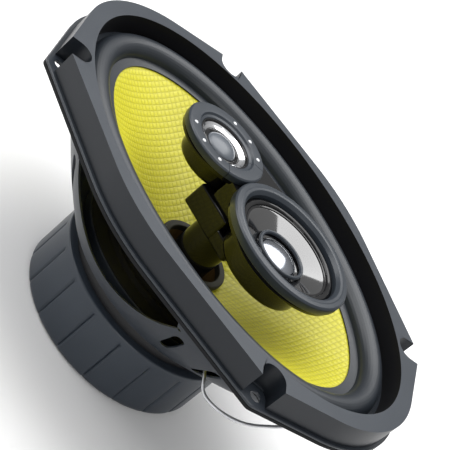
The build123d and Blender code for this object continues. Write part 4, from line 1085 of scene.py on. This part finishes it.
def tweeter():
    """Bezel with its plain sector, studs, reflector, dome and surround of the tweeter."""
    part_turned("tweeter_bezel_ring", TWEETER_SECTION, TWEETER_ROUND, TWEETER_X, 40.0, 320.0, 130, BEZEL,
                ("tweeter_bezel",))
    part_turned("tweeter_sector", TWEETER_SECTION, TWEETER_ROUND, TWEETER_X, -39.3, 39.3, 40, BEZEL,
                ("tweeter_bezel_sector",))
    heads = []
    stud = np.array([(0.0, 22.25), (0.5, 22.22), (0.85, 22.1), (1.0, 21.9), (1.0, 21.0), (0.0, 21.0)]) * MM
    for angle in (57, 90, 123, -57, -90, -123):
        turn = np.radians(angle)
        place = (TWEETER_X + STUD_CIRCLE_R * np.cos(turn), STUD_CIRCLE_R * np.sin(turn), 0.0)
        heads.append(turned(stud, 0.0, 24) + place)
    many_turned("bezel_stud_heads", heads, STUD, "frame", ("bezel_studs",))
    reflector = [(10.2, 17.9), (12.7, 17.46), (12.7, 17.2), (14.0, 17.2), (14.0, 20.3), (13.5, 20.3),
                 (12.9, 19.5), (11.8, 18.7), (10.3, 18.2)]
    ring = turned_piece("tweeter_reflector_ring", reflector, (0.1, 0, 0, 0, 0.1, 0.1, 0.8, 0.8, 0.1),
                        TWEETER_X,
                        CHROME, "frame", ("tweeter_reflector",), 128)
    # The outer part of the chrome reflector, past this radius, is gloss black: a painted dark reflection.
    ring.data.materials.append(GLOSS)
    centres = np.empty(len(ring.data.polygons) * 3)
    ring.data.polygons.foreach_get("center", centres)
    centres = centres.reshape(-1, 3)
    outer = np.hypot(centres[:, 0] - TWEETER_X, centres[:, 1]) > REFLECTOR_PAINTED_DARK_R
    ring.data.polygons.foreach_set("material_index", outer.astype(np.int32))
    u = np.linspace(0, 1, 16)
    dome_r, dome_z = 8.0 * np.sin(u * np.pi / 2), 17.9 + 2.8 * np.cos(u * np.pi / 2) ** 1.3
    dome = np.concatenate([np.stack([dome_r, dome_z], -1), np.stack([dome_r, dome_z - 0.3], -1)[::-1]])
    turned_piece("tweeter_dome_cap", dome, 0.0, TWEETER_X, DOME, "tweeter",
                 ("tweeter_dome",), 128)
    roll = half_roll(8.0, 8.4, 10.5, 12.6, 17.6, 17.2, 0.7, 0.25)

    def weigh(places):
        return 1 - smooth_step((np.hypot(places[:, 0] - TWEETER_X, places[:, 1]) - 8.4 * MM) / (2.1 * MM))

    soft_piece("tweeter_roll", turned(round_corners(roll, 0.05, 2) * MM, TWEETER_X, 128), GLOSS,
               ("tweeter_surround",), True, weigh)


# ---------------------------------------------------------------- terminals and leads
TERMINAL_TURN = np.radians(10.0)


def on_terminal(points):
    """Turn (distance out, distance along, height) millimetres into points in the row's frame."""
    points = np.asarray(points, float)
    rho, tau, z = points[..., 0], points[..., 1], points[..., 2]
    c, s = np.cos(TERMINAL_TURN), np.sin(TERMINAL_TURN)
    return np.stack([rho * c - tau * s, rho * s + tau * c, z], -1) * MM


def terminal_block(name, outline, z_low, z_high, material, replaces=(), width=0.15):
    """Make a flat piece of the terminal board from its outline."""
    turned_outline = on_terminal(np.concatenate([outline, np.zeros((len(outline), 1))], 1))[:, :2] / MM
    return block_piece(name, turned_outline, z_low, z_high, material, replaces, width)


def terminals():
    """Shelf, board, two spade terminals and their rivets."""
    def box(r0, r1, t0, t1, corner):
        return round_corners([(r0, t0), (r1, t0), (r1, t1), (r0, t1)], corner, 4)

    terminal_block("terminal_shelf", box(78.0, 91.5, -10.0, 10.0, 0.5), -22.0, -20.8, BASKET_PAINT)
    terminal_block("terminal_plate", box(82.6, 95.0, -12.0, 12.0, 1.0), -20.8, -19.2, PHENOLIC,
                   ("terminal_board",))
    for name, side, half in (("positive", -1, 2.4), ("negative", 1, 1.4)):
        blade = box(85.6, 104.0, side * 7 - half, side * 7 + half, 0.4)
        terminal_block("spade_" + name, blade, -19.2, -18.4, TINNED, ("terminal_" + name,))
        near, far = sorted((side * 7, side * 15))
        terminal_block("ear_" + name, box(86.4, 89.6, near, far, 0.4), -19.2, -18.4, TINNED)
    head = np.array([(0.0, -17.75), (1.4, -17.85), (2.2, -18.3), (2.2, -18.45), (0.0, -18.45)]) * MM
    heads = [turned(head, 0.0, 24) + on_terminal((88.0, side * 7.0, 0.0)) for side in (1, -1)]
    many_turned("terminal_rivet_heads", heads, ZINC, "frame", ("terminal_rivets",))


def smooth_route(points, count):
    """Even Catmull-Rom run through a route's points.

    Between two points p1 and p2 the curve is
    0.5 * (2 p1 + (p2 - p0) t + (2 p0 - 5 p1 + 4 p2 - p3) t^2 + (3 p1 - p0 - 3 p2 + p3) t^3).
    """
    points = np.asarray(points, float)
    padded = np.concatenate([2 * points[:1] - points[1:2], points, 2 * points[-1:] - points[-2:-1]])
    t = np.linspace(0, 1, 24, endpoint=False)[None, :, None]
    p0, p1, p2, p3 = (padded[i:len(padded) - 3 + i, None] for i in range(4))
    curve = 0.5 * (2 * p1 + (p2 - p0) * t + (2 * p0 - 5 * p1 + 4 * p2 - p3) * t ** 2
                   + (3 * p1 - p0 - 3 * p2 + p3) * t ** 3)
    curve = np.concatenate([curve.reshape(-1, 3), points[-1:]])
    length = np.concatenate([[0], np.cumsum(np.linalg.norm(np.diff(curve, axis=0), axis=1))])
    even = np.linspace(0, length[-1], count)
    return np.stack([np.interp(even, length, curve[:, axis]) for axis in range(3)], -1)


def tube(route, r, sides=12):
    """Carry a circle along a route: offsets lie across the path, on an upright and a level side."""
    forward = np.gradient(route, axis=0)
    forward /= np.linalg.norm(forward, axis=1)[:, None]
    side = np.cross(forward, (0.0, 0.0, 1.0))
    side /= np.maximum(np.linalg.norm(side, axis=1)[:, None], 1e-9)
    up = np.cross(side, forward)
    turn = np.linspace(0, 2 * np.pi, sides, endpoint=False)[:, None, None]
    body = route[None] + r * (np.cos(turn) * side[None] + np.sin(turn) * up[None])
    ends = np.broadcast_to(route[[0, -1]][None], (sides, 2, 3))
    return np.concatenate([ends[:, :1], body, ends[:, 1:]], 1)


FAR_ROUTE = [(36, 8, -19.4), (54, 16, -22.5), (70, 24.5, -21.5), (78, 25.5, -24.5), (86.6, 20, -24.0),
             (87.8, 14.4, -20.3)]
NEAR_ROUTE = [(28.0, -24.0, -19.4), (40.2, -39.5, -22.5), (50.3, -54.5, -21.5), (56.9, -59.1, -24.5),
              (66.5, -58.0, -24.0), (76.0, -47.0, -24.6), (82.6, -33.0, -24.2), (87.0, -20.4, -23.6),
              (87.8, -14.4, -20.3)]


def tinsel_leads():
    """Two braided leads from the cone's back to the terminal ears."""
    for name, points, free in (("positive", NEAR_ROUTE, 0.4), ("negative", FAR_ROUTE, 0.6)):
        route = smooth_route(on_terminal(points), 120)
        grid = tube(route, 0.8 * MM)

        def weigh(places, route=route, free=free):
            gap = np.linalg.norm(places[:, None] - route[None], axis=2)
            return 1 - smooth_step(gap.argmin(1) / (len(route) - 1) / free)

        soft_piece("tinsel_" + name, grid, TINSEL, ("tinsel_lead_" + name,), False, weigh)


# ---------------------------------------------------------------- assembly
def dress_cad():
    """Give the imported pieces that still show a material, welded corners and a fine bevel."""
    finishes = {
        "magnet": FERRITE, "yoke": ZINC, "pole_plate": ZINC, "post_nut": ZINC, "coil_former": FILM,
        "voice_coil": COPPER, "capacitor": SLEEVE, "crossover_lead": WIRE, "tweeter_spacer": GLOSS,
    }
    for name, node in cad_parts.items():
        if node.hide_render:
            continue
        material = next(finish for word, finish in finishes.items() if word in name)
        node.data.materials.clear()
        node.data.materials.append(material)
        weld = node.modifiers.new("weld", "WELD")
        weld.merge_threshold = 1e-6
        bevel = node.modifiers.new("fine bevel", "BEVEL")
        bevel.width, bevel.segments = 0.15 * MM, 2
        bevel.limit_method, bevel.angle_limit = "ANGLE", np.radians(40.0)


trim()
flange_like("foam_gasket", 0.0, FOAM_TOP / MM, (109.4, 75.4), 5.0, FOAM, ("mounting_gasket",))
flange_like("steel_flange", FOAM_TOP / MM, FLANGE_TOP / MM, (103.4, 72.2), HOLE_R, BASKET_PAINT)
basket_wall()
spider_landing()
cone()
woofer_surround()
woofer_spider()
collar()
boot()
top_disc()
magnet_ring()
rivet_heads()
carrier()
unit_cup("midrange_cup_shell", 25.2, 22.0, 0.5, 14.9, "midrange_cup")
unit_cup("tweeter_cup_shell", -29.2, 15.5, 6.0, 15.95, "tweeter_cup")
web()
midrange()
tweeter()
terminals()
tinsel_leads()
dress_cad()


# ---------------------------------------------------------------- floor, light and camera
FLOOR_LEVEL = BOOT_BACK
CAMERA_PLACE = np.array((208.24, -599.88, 322.39)) * MM
CAMERA_TARGET = np.array((-13.08, 34.90, -20.0)) * MM
CAMERA_ROLL = 49.83
LENS = 128.42


def pale(name, colour, roughness):
    """Plain pale surface for the floor."""
    material, tree, shader = new_material(name, Base_Color=(*colour, 1.0), Roughness=roughness)
    return material


def floor():
    """Wide pale floor under the boot."""
    half = 8.0
    corners = [(x * half, y * half, FLOOR_LEVEL) for x, y in ((-1, -1), (1, -1), (1, 1), (-1, 1))]
    mesh = bpy.data.meshes.new("studio_floor")
    mesh.from_pydata(corners, [], [(0, 1, 2, 3)])
    plane = bpy.data.objects.new("studio_floor", mesh)
    mesh.materials.append(pale("pale floor", (0.92, 0.92, 0.92), 0.9))
    bpy.context.scene.collection.objects.link(plane)


def softbox(name, place, aim, size, power):
    """Square area light aimed at a point."""
    data = bpy.data.lights.new(name, "AREA")
    data.shape, data.size, data.energy = "SQUARE", size, power
    lamp = bpy.data.objects.new(name, data)
    place, aim = np.array(place), np.array(aim)
    back = (place - aim) / np.linalg.norm(place - aim)
    right = np.cross((0.0, 1.0, 0.0), back) if abs(back[2]) > 0.99 else np.cross((0.0, 0.0, 1.0), back)
    right /= np.linalg.norm(right)
    up = np.cross(back, right)
    axes = np.stack([right, up, back], -1)
    lamp.matrix_world = Matrix([[*axes[i], place[i]] for i in range(3)] + [[0, 0, 0, 1]])
    bpy.context.scene.collection.objects.link(lamp)


def camera():
    """Camera from its place, target and roll about the line of sight."""
    forward = (CAMERA_TARGET - CAMERA_PLACE) / np.linalg.norm(CAMERA_TARGET - CAMERA_PLACE)
    level = np.cross(forward, (0.0, 0.0, 1.0))
    level /= np.linalg.norm(level)
    upright = np.cross(level, forward)
    roll = np.radians(CAMERA_ROLL)
    right = np.cos(roll) * level + np.sin(roll) * upright
    up = np.cross(right, forward)
    data = bpy.data.cameras.new("main_camera")
    data.lens, data.sensor_width = LENS, 36.0
    data.clip_start, data.clip_end = 0.05, 50.0
    rig = bpy.data.objects.new("main_camera", data)
    axes = np.stack([right, up, -forward], -1)
    rig.matrix_world = Matrix([[*axes[i], CAMERA_PLACE[i]] for i in range(3)] + [[0, 0, 0, 1]])
    bpy.context.scene.collection.objects.link(rig)
    bpy.context.scene.camera = rig


def surroundings():
    """White surroundings, dim at the horizon and brighter overhead."""
    world = bpy.data.worlds.new("studio")
    bpy.context.scene.world = world
    world.use_nodes = True
    tree = world.node_tree
    direction = tree.nodes.new("ShaderNodeTexCoord")
    split = tree.nodes.new("ShaderNodeSeparateXYZ")
    tree.links.new(direction.outputs["Generated"], split.inputs[0])
    height = math(tree, "MAXIMUM", split.outputs["Z"], 0.0)
    background = tree.nodes["Background"]
    background.inputs["Color"].default_value = (1.0, 1.0, 1.0, 1.0)
    tree.links.new(math(tree, "MULTIPLY_ADD", height, 0.6, 0.14), background.inputs["Strength"])


floor()
softbox("overhead_softbox", (-0.42, 0.50, 1.40), (0.0, 0.0, 0.0), 1.7, 30.0)
softbox("left_softbox", (-1.3, -0.5, 0.9), (0.0, 0.0, 0.0), 1.1, 12.0)
softbox("front_softbox", (0.9, -1.1, 0.8), (0.0, 0.0, 0.0), 0.9, 6.0)
surroundings()
camera()
bpy.context.scene.view_settings.view_transform = "Standard"
